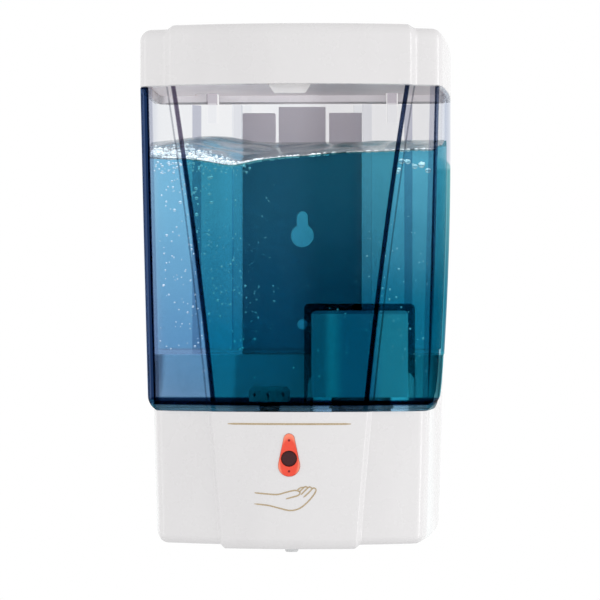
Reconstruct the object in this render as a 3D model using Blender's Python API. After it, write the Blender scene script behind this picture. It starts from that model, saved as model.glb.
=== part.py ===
"""Wall mounted automatic soap dispenser, built as an assembly of its real pieces.

Plans and heights are worked out in millimetres: x to the right, y towards the wall (the wall is
y = 0, so the whole object has negative y) and h up from the lowest edge of the front panel.
Every mesh is written in metres with the origin on the wall bracket's back face.
"""
import math

import bpy
import bmesh
from mathutils import Vector

MM = 0.001

# Frame: the origin lies on the bracket's back face, between its keyhole and its lower screw hole.
ORIGIN_H = 106.0
GAP = 0.3

# Whole body
FRONT_Y = -112.0
PANEL_PROUD = 2.3
PANEL_SLANT = 2.4
REAR_Y = -1.2
FRONT_BOW = 9.7
SIDE_RUN = 80.0
CORNER_RADIUS = 5.0
REAR_RADIUS = 8.0
TANK_FRONT_HALF = 59.2
TANK_TAPER = 0.024
TANK_REAR_HALF = 63.3
TANK_BULGE = 0.00035
BULGE_H = 160.0
BASE_FRONT_HALF = 52.7
BASE_FRONT_TAPER = 0.025
BASE_REAR_HALF = 59.8
BASE_REAR_TAPER = 0.031

# Heights
SEAM_H = 53.1
STEP_H = 73.8
STEP_START = 80.0
STEP_END = 46.0
LID_SEAM_H = 180.3
SHOULDER_H = 202.9
BAND_H = 204.2
BAND_HALF = 46.4
BAND_SLOPE = 3.6
LID_EDGE = 4.5
LINER_H = (184.0, 185.6)
WING_BOTTOM_H = 0.9
PANEL_LIP = 1.4

# Walls
TANK_WALL = 2.4
BASE_WALL = 3.0
LID_WALL = 2.2

# Lid hinge, along x close to the wall
HINGE_Y = -8.7
HINGE_H = 196.0
HINGE_REACH = 8.2
SKIRT_REACH = 15.6
HINGE_PIN_R = 1.5
HINGE_BORE_R = 1.8
EAR_X = 36.5
EAR_T = 4.0
LUG_T = 3.5
EAR_R = 4.2
EAR_LOW_H = 172.0

# Wall bracket and the channel that it fills
BRACKET_HALF = 25.5
BRACKET_WEB_HALF = 21.4
FLANGE_BACK_Y = -4.0
FLANGE_FRONT_Y = -7.0
BRACKET_TOP_H = 176.4
BRACKET_LOW_H = 69.0
TONGUE_TOP_H = 179.0
TONGUE_HALF = 10.0
SLIT_W = 1.6
SLIT_LOW_H = 158.0
KEYHOLE_H = 124.0
KEYHOLE_R = 5.0
KEYSLOT_HALF = 2.5
KEYSLOT_TOP_H = 134.5
LOWER_SCREW_H = 86.0
CHANNEL_FRONT_Y = -7.5
CHANNEL_HALF = 26.0
CHANNEL_SIDE_T = 3.8
LIP_HALF = 22.0
LIP_FRONT_Y = -3.6
REAR_STEP_X = 44.0
REAR_STEP_SLANT = 3.2
REAR_STEP_D = 4.0

# Posts under the base's ceiling for the cover's screws: x, y and top height
SCREW_POSTS = ((-43.0, -90.0, 52.0), (43.0, -90.0, 52.0), (-46.0, -38.0, 73.5), (46.0, -38.0, 73.5))
POST_R = 3.4
POST_BORE_R = 1.4
POST_LOW_H = 5.0

# Pump dome that rises inside the tank, over the motor
DOME_X = (4.8, 48.6)
DOME_Y = (-95.0, -51.0)
DOME_TOP_H = 95.0
DOME_R = 5.0

# Drive: motor over a gear pump
PUMP_X = 27.0
PUMP_Y = -73.0
GEAR_MODULE = 1.0
GEAR_TEETH = 10
GEAR_SPACING = 10.4
GEAR_H = (33.0, 39.6)
PUMP_LOW_H = 30.0
PUMP_TOP_H = 40.0
PUMP_COVER_T = 3.0
MOTOR_R = 12.0
MOTOR_LEN = 26.0
SHAFT_R = 1.0

# Soap way
INLET_X = -9.0
INLET_Y = -88.0
NOZZLE_Y = -92.0
NOZZLE_TIP_H = -3.0
TUBE_OUT_R = 3.2
TUBE_IN_R = 2.2

# Batteries
CELL_R = 7.25
CELL_LEN = 50.5
CELL_PITCH = 15.6
CELL_COUNT = 4
CELL_Y = -19.8
CELL_LOW_H = 10.0
BOX_HALF_X = 33.6
BOX_Y = (-28.7, -10.9)
BOX_H = (6.0, 65.0)
BOX_WALL = 1.2

# Battery door
DOOR_HALF_X = 31.5
DOOR_Y = (-28.2, -11.4)
DOOR_AXIS_Y = -30.2
DOOR_H = (2.6, 4.4)

# Sensor window
DROP_LOW_H = 28.0
DROP_TOP_H = 44.6
DROP_BIG_R = 4.2
DROP_SMALL_R = 2.1
LENS_H = 34.9
LENS_R = 2.9

# Power switch
SWITCH_X = -26.0
SWITCH_Y = -58.0

# Control board
BOARD_X = (-46.0, -12.0)
BOARD_Y = -44.0
BOARD_H = (9.0, 46.0)


def clear_scene():
    for old in list(bpy.data.objects):
        bpy.data.objects.remove(old, do_unlink=True)


def material(name, colour, roughness, metallic=0.0, transmission=0.0):
    mat = bpy.data.materials.new(name)
    mat.use_nodes = True
    shader = mat.node_tree.nodes["Principled BSDF"]
    shader.inputs["Base Color"].default_value = (*colour, 1.0)
    shader.inputs["Roughness"].default_value = roughness
    shader.inputs["Metallic"].default_value = metallic
    shader.inputs["Transmission Weight"].default_value = transmission
    mat.diffuse_color = (*colour, 1.0)
    mat.metallic = metallic
    mat.roughness = roughness
    return mat


# --- plain shapes: each returns (points, faces) in millimetres, as (x, y, h) ------------------

def loft(loops):
    """Closed skin through loops that have the same number of points, with a cap at each end."""
    count = len(loops[0])
    points = [point for loop in loops for point in loop]
    faces = [tuple(reversed(range(count)))]
    for row in range(len(loops) - 1):
        low = row * count
        high = low + count
        for i in range(count):
            j = (i + 1) % count
            faces.append((low + i, low + j, high + j, high + i))
    last = (len(loops) - 1) * count
    faces.append(tuple(range(last, last + count)))
    return points, faces


def prism(outline, low, high, axis="h"):
    """Outline of (a, b) pairs pushed from low to high along x, y or h."""
    def place(a, b, c):
        if axis == "x":
            return (c, a, b)
        if axis == "y":
            return (a, c, b)
        return (a, b, c)
    return loft([[place(a, b, c) for a, b in outline] for c in (low, high)])


def box(low, high):
    outline = [(low[0], low[1]), (high[0], low[1]), (high[0], high[1]), (low[0], high[1])]
    return prism(outline, low[2], high[2])


def circle(radius, sides, centre=(0.0, 0.0), start=0.0):
    turns = [start + 2 * math.pi * i / sides for i in range(sides)]
    return [(centre[0] + radius * math.cos(t), centre[1] + radius * math.sin(t)) for t in turns]


def arc(centre, radius, start, end, steps):
    """Points on an arc, from start to end in degrees, both ends included."""
    angles = [math.radians(start + (end - start) * i / steps) for i in range(steps + 1)]
    return [(centre[0] + radius * math.cos(a), centre[1] + radius * math.sin(a)) for a in angles]


def rounded_rectangle(low, high, radius, steps=3):
    x0, y0 = low
    x1, y1 = high
    corners = [((x1 - radius, y1 - radius), 0), ((x0 + radius, y1 - radius), 90),
               ((x0 + radius, y0 + radius), 180), ((x1 - radius, y0 + radius), 270)]
    outline = []
    for centre, start in corners:
        outline += arc(centre, radius, start, start + 90, steps)
    return outline


def turned(profile, centre=(0.0, 0.0), sides=20):
    """Solid of revolution about a vertical axis; profile is (radius, h) from its lowest end up."""
    loops = [[(x, y, h) for x, y in circle(radius, sides, centre)] for radius, h in profile]
    return loft(loops)


def spun_section(section, centre, sides):
    """Closed (radius, h) section taken all the way round a vertical axis."""
    count = len(section)
    points = []
    for i in range(sides):
        turn = 2 * math.pi * i / sides
        for radius, h in section:
            points.append((centre[0] + radius * math.cos(turn),
                           centre[1] + radius * math.sin(turn), h))
    faces = []
    for i in range(sides):
        j = (i + 1) % sides
        for k in range(count):
            m = (k + 1) % count
            faces.append((i * count + k, j * count + k, j * count + m, i * count + m))
    return points, faces


def frames_along(path):
    """Unit side vectors that follow a path without twisting."""
    tangents = []
    for i in range(len(path)):
        before = Vector(path[max(i - 1, 0)])
        after = Vector(path[min(i + 1, len(path) - 1)])
        tangents.append((after - before).normalized())
    side = tangents[0].orthogonal().normalized()
    frames = []
    for tangent in tangents:
        side = (side - tangent * side.dot(tangent)).normalized()
        frames.append((side, tangent.cross(side)))
    return frames


def swept(path, outer, inner=0.0, sides=12):
    """Round bar along a path, or a hose with open ends when it has an inner radius."""
    frames = frames_along(path)

    def loop(i, radius):
        side, up = frames[i]
        middle = Vector(path[i])
        turns = [2 * math.pi * k / sides for k in range(sides)]
        return [tuple(middle + radius * (math.cos(t) * side + math.sin(t) * up)) for t in turns]

    outside = [loop(i, outer) for i in range(len(path))]
    if not inner:
        return loft(outside)
    inside = [loop(i, inner) for i in reversed(range(len(path)))]
    points, faces = loft(outside + inside)
    body = faces[1:-1]
    last = len(points) - sides
    for i in range(sides):
        j = (i + 1) % sides
        body.append((last + i, last + j, j, i))
    return points, body


def smooth_path(knots, steps=5):
    """Points on a smooth curve through the knots (Catmull-Rom)."""
    spots = [Vector(k) for k in knots]
    spots = [2 * spots[0] - spots[1]] + spots + [2 * spots[-1] - spots[-2]]
    path = []
    for i in range(1, len(spots) - 2):
        a, b, c, d = spots[i - 1:i + 3]
        for step in range(steps):
            t = step / steps
            path.append(0.5 * (2 * b + (c - a) * t + (2 * a - 5 * b + 4 * c - d) * t * t
                               + (3 * b - a - 3 * c + d) * t * t * t))
    path.append(spots[-2])
    return path


def together(*shapes):
    """Several shapes in one mesh."""
    points = []
    faces = []
    for more_points, more_faces in shapes:
        start = len(points)
        points += more_points
        faces += [tuple(start + i for i in face) for face in more_faces]
    return points, faces


# --- objects ------------------------------------------------------------------------------------

def world(point):
    x, y, h = point
    return Vector((x * MM, y * MM, (h - ORIGIN_H) * MM))


def add(name, shape, mat, pivot=None):
    """One named object; pivot is the point on its joint's axis, as (x, y, h)."""
    points, faces = shape
    origin = world(pivot) if pivot else Vector((0.0, 0.0, 0.0))
    mesh = bpy.data.meshes.new(name)
    mesh.from_pydata([world(point) - origin for point in points], [], faces)
    tidy = bmesh.new()
    tidy.from_mesh(mesh)
    bmesh.ops.recalc_face_normals(tidy, faces=tidy.faces)
    tidy.to_mesh(mesh)
    tidy.free()
    mesh.shade_smooth()
    mesh.set_sharp_from_angle(angle=math.radians(32))
    if mat:
        mesh.materials.append(mat)
    piece = bpy.data.objects.new(name, mesh)
    piece.location = origin
    bpy.context.scene.collection.objects.link(piece)
    return piece


def tool(name, shape):
    """A shape that only cuts or limits another one."""
    guide = add("cut_" + name, shape, None)
    guide.hide_render = True
    guide.display_type = "WIRE"
    return guide


def combine(piece, guide, operation):
    step = piece.modifiers.new(operation.title(), "BOOLEAN")
    step.operation = operation
    step.solver = "EXACT"
    step.object = guide
    return piece


def cut(piece, name, shape):
    return combine(piece, tool(name, shape), "DIFFERENCE")


def join(piece, name, shape):
    return combine(piece, tool(name, shape), "UNION")


def keep(piece, name, shape):
    return combine(piece, tool(name, shape), "INTERSECT")


# --- plan outlines ------------------------------------------------------------------------------

def panel_half(h):
    """Half width of the raised front panel, which widens upwards."""
    return 25.5 + 0.0722 * h + 0.000241 * h * h


def tank_widths(h):
    """Half widths of the tank and lid at the front corner and at the rear; the flanks bulge a little."""
    front = TANK_FRONT_HALF - TANK_TAPER * (180.0 - h)
    return front, TANK_REAR_HALF - TANK_BULGE * max(BULGE_H - h, 0.0) ** 2


def base_widths(h):
    """Half widths of the base at the front corner and at the rear."""
    below = SEAM_H - h
    return BASE_FRONT_HALF - BASE_FRONT_TAPER * below, BASE_REAR_HALF - BASE_REAR_TAPER * below


def body_side(widths, inset, panel, slant, rear_y):
    """Right half of the plan with these half widths, from the front's centre to the rear corner."""
    half_front, half_rear = widths
    flare = half_rear - half_front
    body_y = FRONT_Y + PANEL_PROUD
    bow_r = (half_front ** 2 + FRONT_BOW ** 2) / (2 * FRONT_BOW)
    front_turn = math.asin(half_front / bow_r)
    side_r = (SIDE_RUN ** 2 + flare ** 2) / (2 * flare)
    side_turn = math.asin(SIDE_RUN / side_r)
    corner_y = body_y + FRONT_BOW
    turn = math.pi / 2 - front_turn - side_turn
    reach = CORNER_RADIUS * math.tan(turn / 2)

    def front(x, proud):
        lean = math.asin(x / bow_r)
        y = body_y + bow_r - math.sqrt(bow_r ** 2 - x ** 2)
        return x - inset * math.sin(lean), y - proud + inset * math.cos(lean)

    spots = [front(panel * i / 4, PANEL_PROUD) for i in range(5)]
    wing_start = panel + slant
    wing_end = half_front - reach * math.cos(front_turn)
    for i in range(3):
        spots.append(front(wing_start + (wing_end - wing_start) * i / 3, 0.0))
    start_x = wing_end
    start_y = corner_y - reach * math.sin(front_turn)
    middle = (start_x - CORNER_RADIUS * math.sin(front_turn),
              start_y + CORNER_RADIUS * math.cos(front_turn))
    for i in range(4):
        lean = front_turn + turn * i / 3
        radius = CORNER_RADIUS - inset
        spots.append((middle[0] + radius * math.sin(lean), middle[1] - radius * math.cos(lean)))
    first = side_turn - reach / side_r
    for i in range(1, 6):
        lean = first * (1 - i / 5)
        x = half_rear - side_r + (side_r - inset) * math.cos(lean)
        spots.append((x, corner_y + SIDE_RUN - (side_r - inset) * math.sin(lean)))
    rear_middle = (half_rear - REAR_RADIUS, rear_y - REAR_RADIUS)
    spots += arc(rear_middle, REAR_RADIUS - inset, 0, 90, 3)
    return spots


def closed(right_half):
    """Whole loop from its right half, whose first point lies on the centre line."""
    left_half = [(-x, y) for x, y in reversed(right_half[1:])]
    return right_half + left_half


def level(outline, h):
    return [(x, y, h) for x, y in outline]


def tank_outline(h):
    side = body_side(tank_widths(h), 0.0, panel_half(h), PANEL_SLANT, REAR_Y - REAR_STEP_D)
    rear = [(REAR_STEP_X + REAR_STEP_SLANT, REAR_Y - REAR_STEP_D), (REAR_STEP_X, REAR_Y),
            (LIP_HALF, REAR_Y), (LIP_HALF, LIP_FRONT_Y),
            (CHANNEL_HALF, LIP_FRONT_Y), (CHANNEL_HALF, CHANNEL_FRONT_Y)]
    return closed(side + rear)


def tank_inner_outline(h, wall=TANK_WALL):
    side = body_side(tank_widths(h), wall, panel_half(h), PANEL_SLANT, REAR_Y - REAR_STEP_D)
    half = CHANNEL_HALF + CHANNEL_SIDE_T
    rear = [(REAR_STEP_X + REAR_STEP_SLANT, REAR_Y - REAR_STEP_D - wall),
            (REAR_STEP_X, REAR_Y - wall), (half, REAR_Y - wall),
            (half, CHANNEL_FRONT_Y - wall)]
    return closed(side + rear)


def base_outline(h, inset=0.0):
    side = body_side(base_widths(h), inset, panel_half(h), PANEL_SLANT, REAR_Y)
    half = CHANNEL_HALF + 0.5 + inset
    return closed(side + [(half, REAR_Y - inset), (half, CHANNEL_FRONT_Y - inset)])


def seam_profile(shift, wall=0.0):
    """Side view of the seam: level at the front, then sweeping up over the battery bay."""
    low = SEAM_H + shift
    high = STEP_H + shift
    run = abs(STEP_START - STEP_END) - wall
    outline = [(-140.0, low)]
    for y, h in arc((-STEP_START, high), 1.0, -90, 0, 7):
        outline.append((-STEP_START + (y + STEP_START) * run, high + (h - high) * (high - low)))
    outline.append((20.0, high))
    return outline


def above_seam(shift, wall=0.0):
    outline = seam_profile(shift, wall) + [(20.0, 260.0), (-140.0, 260.0)]
    return prism(outline, -90.0, 90.0, "x")


def below_seam(shift, wall=0.0):
    outline = seam_profile(shift, wall) + [(20.0, -60.0), (-140.0, -60.0)]
    return prism(outline, -90.0, 90.0, "x")


# --- wall bracket -------------------------------------------------------------------------------

def make_wall_bracket(mat):
    half = BRACKET_HALF
    block = box((-half, FLANGE_FRONT_Y, BRACKET_LOW_H), (half, 0.0, TONGUE_TOP_H))
    bracket = add("wall_bracket", block, mat)
    foot_top = STEP_H - 0.2
    for side in (-1, 1):
        label = "left" if side < 0 else "right"
        edge = sorted((side * BRACKET_WEB_HALF, side * 30.0))
        cut(bracket, "groove_" + label, box((edge[0], FLANGE_BACK_Y, foot_top), (edge[1], 5.0, 190.0)))
        slit = sorted((side * TONGUE_HALF, side * (TONGUE_HALF + SLIT_W)))
        cut(bracket, "slit_" + label, box((slit[0], -10.0, SLIT_LOW_H), (slit[1], 5.0, 190.0)))
        top = sorted((side * (TONGUE_HALF + 0.8), side * 30.0))
        cut(bracket, "shoulder_" + label, box((top[0], -10.0, BRACKET_TOP_H), (top[1], 5.0, 190.0)))
    thin = (TONGUE_HALF + SLIT_W / 2)
    cut(bracket, "tongue_back", box((-thin, -4.5, SLIT_LOW_H - 2.0), (thin, 5.0, 190.0)))
    keyhole = arc((0.0, KEYHOLE_H), KEYHOLE_R, 120, 420, 16)
    keyhole += arc((0.0, KEYSLOT_TOP_H - KEYSLOT_HALF), KEYSLOT_HALF, 0, 180, 6)
    cut(bracket, "keyhole", prism(keyhole, -12.0, 5.0, "y"))
    cut(bracket, "screw_hole", prism(circle(2.2, 16, (0.0, LOWER_SCREW_H)), -12.0, 5.0, "y"))
    return bracket


# --- tank ---------------------------------------------------------------------------------------

def dome_shape(inset, top, low):
    low_corner = (DOME_X[0] + inset, DOME_Y[0] + inset)
    high_corner = (DOME_X[1] - inset, DOME_Y[1] - inset)
    radius = DOME_R - inset
    loops = [level(rounded_rectangle(low_corner, high_corner, radius), low)]
    for step in (0, 45, 90):
        lean = math.radians(step)
        shrink = 2.0 * (1 - math.cos(lean))
        h = top - 2.0 + 2.0 * math.sin(lean)
        corners = [(low_corner[0] + shrink, low_corner[1] + shrink),
                   (high_corner[0] - shrink, high_corner[1] - shrink)]
        loops.append(level(rounded_rectangle(*corners, radius - shrink * 0.9), h))
    return loft(loops)


def hinge_bore(x_low, x_high):
    return prism(circle(HINGE_BORE_R, 16, (HINGE_Y, HINGE_H)), x_low, x_high, "x")


def make_tank(mat):
    heights = (40.0, 75.0, 110.0, 145.0, LID_SEAM_H - GAP)
    tank = add("tank", loft([level(tank_outline(h), h) for h in heights]), mat)
    keep(tank, "tank_low", above_seam(GAP / 2))
    room_heights = (40.0, 75.0, 110.0, 145.0, 190.0)
    room = tool("tank_room", loft([level(tank_inner_outline(h), h) for h in room_heights]))
    keep(room, "tank_floor", above_seam(TANK_WALL, TANK_WALL))
    cut(room, "dome_wall", dome_shape(0.0, DOME_TOP_H, 30.0))
    combine(tank, room, "DIFFERENCE")
    cut(tank, "dome_recess", dome_shape(TANK_WALL, DOME_TOP_H - TANK_WALL, 30.0))
    cut(tank, "inlet_hole", prism(circle(4.2, 16, (INLET_X, INLET_Y)), 40.0, 62.0))
    for side in (-1, 1):
        label = "left" if side < 0 else "right"
        spread = sorted((side * EAR_X, side * (EAR_X + EAR_T)))
        foot = [(HINGE_Y - EAR_R, EAR_LOW_H), (REAR_Y - 1.0, EAR_LOW_H), (REAR_Y - 1.0, EAR_LOW_H + 6.6),
                (HINGE_Y + EAR_R, EAR_LOW_H + 9.0)]
        foot += arc((HINGE_Y, HINGE_H), EAR_R, 0, 180, 10)
        join(tank, "ear_" + label, prism(foot, spread[0], spread[1], "x"))
        cut(tank, "ear_bore_" + label, hinge_bore(spread[0] - 1.0, spread[1] + 1.0))
    return tank


# --- lid ----------------------------------------------------------------------------------------

def lid_half(inset):
    slant = BAND_SLOPE
    side = body_side(tank_widths(LID_SEAM_H), inset, BAND_HALF, slant, REAR_Y)
    return side + [(BAND_HALF + slant, REAR_Y - inset), (BAND_HALF, REAR_Y - inset)]


def lid_point(x, y, share, on_band):
    """A lid point at a share of the lid's height, kept inside the hinge's free circle."""
    top = BAND_H if on_band else SHOULDER_H
    h = LID_SEAM_H + share * (top - LID_SEAM_H)
    behind = y - HINGE_Y
    if share == 0.0 and behind > 0.0:
        h = HINGE_H - math.sqrt(SKIRT_REACH ** 2 - behind ** 2)
    rise = h - HINGE_H
    if rise > 0.0:
        limit = math.sqrt(max(HINGE_REACH ** 2 - rise ** 2, 0.0))
        y = min(y, HINGE_Y + limit)
    return (x, y, h)


def lid_loop(inset, share):
    half = lid_half(inset)
    count = len(half)
    marks = [i < 5 or i == count - 1 for i in range(count)]
    spots = closed(half)
    marks = marks + list(reversed(marks[1:]))
    return [lid_point(x, y, share, on_band) for (x, y), on_band in zip(spots, marks)]


def lid_shell_shape():
    """Outer lid: straight walls, a rounded top edge and a raised middle band."""
    height = SHOULDER_H - LID_SEAM_H
    loops = [lid_loop(LID_WALL + 1.0, 0.0), lid_loop(0.0, 0.0), lid_loop(0.0, 0.35)]
    for step in range(5):
        lean = math.radians(22.5 * step)
        drop = LID_EDGE * (1 - math.sin(lean)) / height
        loops.append(lid_loop(LID_EDGE * (1 - math.cos(lean)), 1.0 - drop))
    points, faces = loft(loops)
    faces.pop()
    count = len(loops[0])
    last = (len(loops) - 1) * count
    half = len(lid_half(0.0))
    band_rear = half - 1
    right = [last + i for i in range(count)]
    front_band = list(range(0, 5)) + [band_rear, count - band_rear] + list(range(count - 4, count))
    faces.append(tuple(right[i] for i in front_band))
    faces.append((right[4], right[5], right[band_rear - 1], right[band_rear]))
    faces.append(tuple(right[i] for i in range(5, band_rear)))
    mirror = [0] + [count - i for i in range(1, half)]
    faces.append((right[mirror[band_rear]], right[mirror[band_rear - 1]],
                  right[mirror[5]], right[mirror[4]]))
    faces.append(tuple(right[mirror[i]] for i in reversed(range(5, band_rear))))
    return points, faces


def lid_room_shape():
    outline = closed(lid_half(LID_WALL))
    inner_top = SHOULDER_H - LID_WALL
    rear_limit = REAR_Y - LID_WALL
    loops = []
    for h, shrink in ((170.0, 0.0), (HINGE_H, 0.0), (inner_top - 1.6, 1.0), (inner_top, 3.2)):
        loops.append([(x * (1 - shrink / 60.0), min(y, rear_limit - shrink), h)
                      for x, y in outline])
    return loft(loops)


def band_room_shape():
    """Extra height under the raised band, rounded at the rear about the hinge axis."""
    outline = arc((HINGE_Y, HINGE_H), REAR_Y - LID_WALL - HINGE_Y, 0, 90, 5)
    outline += [(FRONT_Y + 7.0, BAND_H - LID_WALL), (FRONT_Y + 5.0, BAND_H - LID_WALL - 2.0),
                (FRONT_Y + 5.0, 190.0), (REAR_Y - LID_WALL, 190.0)]
    return prism(outline, -BAND_HALF + 1.0, BAND_HALF - 1.0, "x")


def make_lid(mat):
    pivot = (0.0, HINGE_Y, HINGE_H)
    lid = add("lid", lid_shell_shape(), mat, pivot)
    cut(lid, "lid_room", lid_room_shape())
    cut(lid, "band_room", band_room_shape())
    for side in (-1, 1):
        label = "left" if side < 0 else "right"
        slot = sorted((side * (EAR_X - 0.5), side * (EAR_X + EAR_T + 0.4)))
        cut(lid, "ear_slot_" + label, box((slot[0], HINGE_Y + 2.0, 150.0), (slot[1], 5.0, 210.0)))
        inner = EAR_X + EAR_T + 0.5
        spread = sorted((side * inner, side * (inner + LUG_T)))
        lug = [(HINGE_Y + EAR_R - 0.4, BAND_H - 1.2), (HINGE_Y - EAR_R, BAND_H - 1.2)]
        lug += arc((HINGE_Y, HINGE_H), EAR_R, 180, 360, 10)
        join(lid, "lug_" + label, prism(lug, spread[0], spread[1], "x"))
        cut(lid, "lug_bore_" + label, hinge_bore(spread[0] - 1.0, spread[1] + 1.0))
    return lid


def make_lid_liner(mat):
    """Flat inner plate that closes the hollow lid from below."""
    pivot = (0.0, HINGE_Y, HINGE_H)
    outline = [(x, min(y, HINGE_Y + 3.6)) for x, y in closed(lid_half(LID_WALL + GAP))]
    liner = add("lid_liner", loft([level(outline, h) for h in LINER_H]), mat, pivot)
    for side in (-1, 1):
        label = "left" if side < 0 else "right"
        notch = sorted((side * (EAR_X - 1.0), side * (EAR_X + EAR_T + LUG_T + 1.5)))
        cut(liner, "liner_notch_" + label, box((notch[0], -16.5, 180.0), (notch[1], 5.0, 190.0)))
    return liner


def make_lid_catch(mat):
    """Tapered tab on the lid that drops behind the tank's front rim."""
    outline = [(-6.0, 177.0), (6.0, 177.0), (8.0, 179.8), (8.0, 183.7), (-8.0, 183.7), (-8.0, 179.8)]
    return add("lid_catch", prism(outline, -108.0, -106.4, "y"), mat, (0.0, HINGE_Y, HINGE_H))


def make_hinge_pins(mat):
    for side, label in ((-1, "left"), (1, "right")):
        spread = sorted((side * (EAR_X - 0.5), side * (EAR_X + EAR_T + LUG_T + 0.8)))
        pin = prism(circle(HINGE_PIN_R, 16, (HINGE_Y, HINGE_H)), spread[0], spread[1], "x")
        add("lid_hinge_pin_" + label, pin, mat, (0.0, HINGE_Y, HINGE_H))


# --- base ---------------------------------------------------------------------------------------

def base_loop(inset, h, lip=0.0):
    """Base outline at h; the panel's stations hang lower by lip."""
    half = base_outline(h, inset)
    count = len(half)
    on_panel = [i < 5 or i > count - 5 for i in range(count)]
    return [(x, y, h - lip if panel else h) for (x, y), panel in zip(half, on_panel)]


def base_body():
    low = WING_BOTTOM_H
    loops = [base_loop(3.2, low, PANEL_LIP), base_loop(1.8, low, PANEL_LIP)]
    loops += [base_loop(0.7, low + 0.7, 0.95 * PANEL_LIP), base_loop(0.15, low + 2.2, 0.6 * PANEL_LIP)]
    loops.append(base_loop(0.0, low + 5.0, 0.15 * PANEL_LIP))
    loops += [base_loop(0.0, h) for h in (20.0, 36.0, 90.0)]
    return loft(loops)


def drop_outline(shrink=0.0):
    """Drop in the front view: a big circle below, a small one above, joined by tangents."""
    low = DROP_LOW_H + DROP_BIG_R
    high = DROP_TOP_H - DROP_SMALL_R
    lean = math.degrees(math.asin((DROP_BIG_R - DROP_SMALL_R) / (high - low)))
    outline = arc((0.0, low), DROP_BIG_R - shrink, 180 - lean, 360 + lean, 16)
    return outline + arc((0.0, high), DROP_SMALL_R - shrink, lean, 180 - lean, 8)


def make_base_housing(mat):
    base = add("base_housing", base_body(), mat)
    keep(base, "base_top", below_seam(-GAP / 2))
    room = tool("base_room", loft([level(base_outline(h, BASE_WALL), h) for h in (-10.0, 40.0, 95.0)]))
    keep(room, "base_ceiling", below_seam(-TANK_WALL - GAP / 2, -TANK_WALL))
    combine(base, room, "DIFFERENCE")
    for i, (x, y, top) in enumerate(SCREW_POSTS):
        join(base, "post_%d" % i, prism(circle(POST_R, 14, (x, y)), POST_LOW_H, top))
        cut(base, "post_bore_%d" % i, prism(circle(POST_BORE_R, 10, (x, y)), 0.0, 18.0))
    cut(base, "motor_hole", prism(circle(MOTOR_R + 1.0, 24, (PUMP_X, PUMP_Y)), 35.0, 90.0))
    cut(base, "inlet_hole_base", prism(circle(4.6, 16, (INLET_X, INLET_Y)), 45.0, 60.0))
    cut(base, "drop_hole", prism(drop_outline(-GAP), FRONT_Y - 5.0, FRONT_Y + 8.0, "y"))
    return base


def make_bottom_cover(mat):
    low, high = DOOR_H
    cover = add("bottom_cover", loft([level(base_outline(h, 3.5), h) for h in (low, high)]), mat)
    cut(cover, "door_opening", box((-DOOR_HALF_X - 0.4, DOOR_Y[0] - 0.4, -5.0),
                                   (DOOR_HALF_X + 0.4, 5.0, 9.0)))
    cut(cover, "barrel_opening", box((-12.3, DOOR_AXIS_Y - 1.9, -5.0), (12.3, -20.0, 9.0)))
    for side in (-1, 1):
        label = "left" if side < 0 else "right"
        spread = sorted((side * 12.3, side * 17.5))
        lug = prism(circle(1.7, 14, (DOOR_AXIS_Y, 3.5)), spread[0], spread[1], "x")
        join(cover, "cover_lug_" + label, lug)
    bore = prism(circle(1.1, 12, (DOOR_AXIS_Y, 3.5)), -17.0, 17.0, "x")
    cut(cover, "cover_bore", bore)
    cut(cover, "nozzle_opening", prism(circle(5.4, 20, (0.0, NOZZLE_Y)), -5.0, 9.0))
    cut(cover, "switch_slot", box((SWITCH_X - 4.4, SWITCH_Y - 1.6, -5.0),
                                  (SWITCH_X + 4.4, SWITCH_Y + 1.6, 9.0)))
    for i, (x, y, _) in enumerate(SCREW_POSTS):
        cut(cover, "cover_hole_%d" % i, prism(circle(1.5, 10, (x, y)), -5.0, 9.0))
    return cover


def make_cover_screws(mat):
    profile = [(1.4, 0.9), (2.5, 1.3), (2.5, 2.3), (1.1, 2.3), (1.1, 12.0), (0.4, 13.5)]
    for i, (x, y, _) in enumerate(SCREW_POSTS):
        screw = add("cover_screw_%d" % (i + 1), turned(profile, (x, y), 12), mat)
        cut(screw, "screw_slot_%d" % i, box((x - 3.0, y - 0.35, 0.0), (x + 3.0, y + 0.35, 1.5)))


# --- sensor -------------------------------------------------------------------------------------

def across(profile, centre, sides=16):
    """Solid of revolution about an axis along y; profile is (radius, y) from the front back."""
    loops = [[(x, y, h) for x, h in circle(radius, sides, centre)] for radius, y in profile]
    return loft(loops)


def make_sensor_window(mat):
    front = FRONT_Y - 0.25
    window = add("sensor_window", prism(drop_outline(), front, FRONT_Y + 4.0, "y"), mat)
    cut(window, "lens_hole", across([(LENS_R + 0.25, front - 2), (LENS_R + 0.25, FRONT_Y + 9)],
                                    (0.0, LENS_H)))
    return window


def make_sensor_lens(mat):
    front = FRONT_Y - 0.35
    profile = [(LENS_R - 0.7, front - 0.25), (LENS_R, front + 0.2), (LENS_R, FRONT_Y + 5.0)]
    return add("sensor_lens", across(profile, (0.0, LENS_H)), mat)


def make_emitter(name, mat, h, face_y, radius=1.5):
    profile = [(0.4, face_y), (radius * 0.75, face_y + 0.4), (radius, face_y + 1.3),
               (radius, face_y + 3.6), (radius + 0.4, face_y + 3.6), (radius + 0.4, face_y + 4.4)]
    return add(name, across(profile, (0.0, h), 14), mat)


def make_sensor_board(mat):
    board = prism(rounded_rectangle((-11.0, 24.0), (11.0, 48.5), 1.5, 2), -101.5, -100.2, "y")
    return add("sensor_board", board, mat)


# --- electronics --------------------------------------------------------------------------------

def make_control_board(mat):
    outline = rounded_rectangle((BOARD_X[0], BOARD_H[0]), (BOARD_X[1], BOARD_H[1]), 1.5, 2)
    return add("control_board", prism(outline, BOARD_Y, BOARD_Y + 1.4, "y"), mat)


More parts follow.
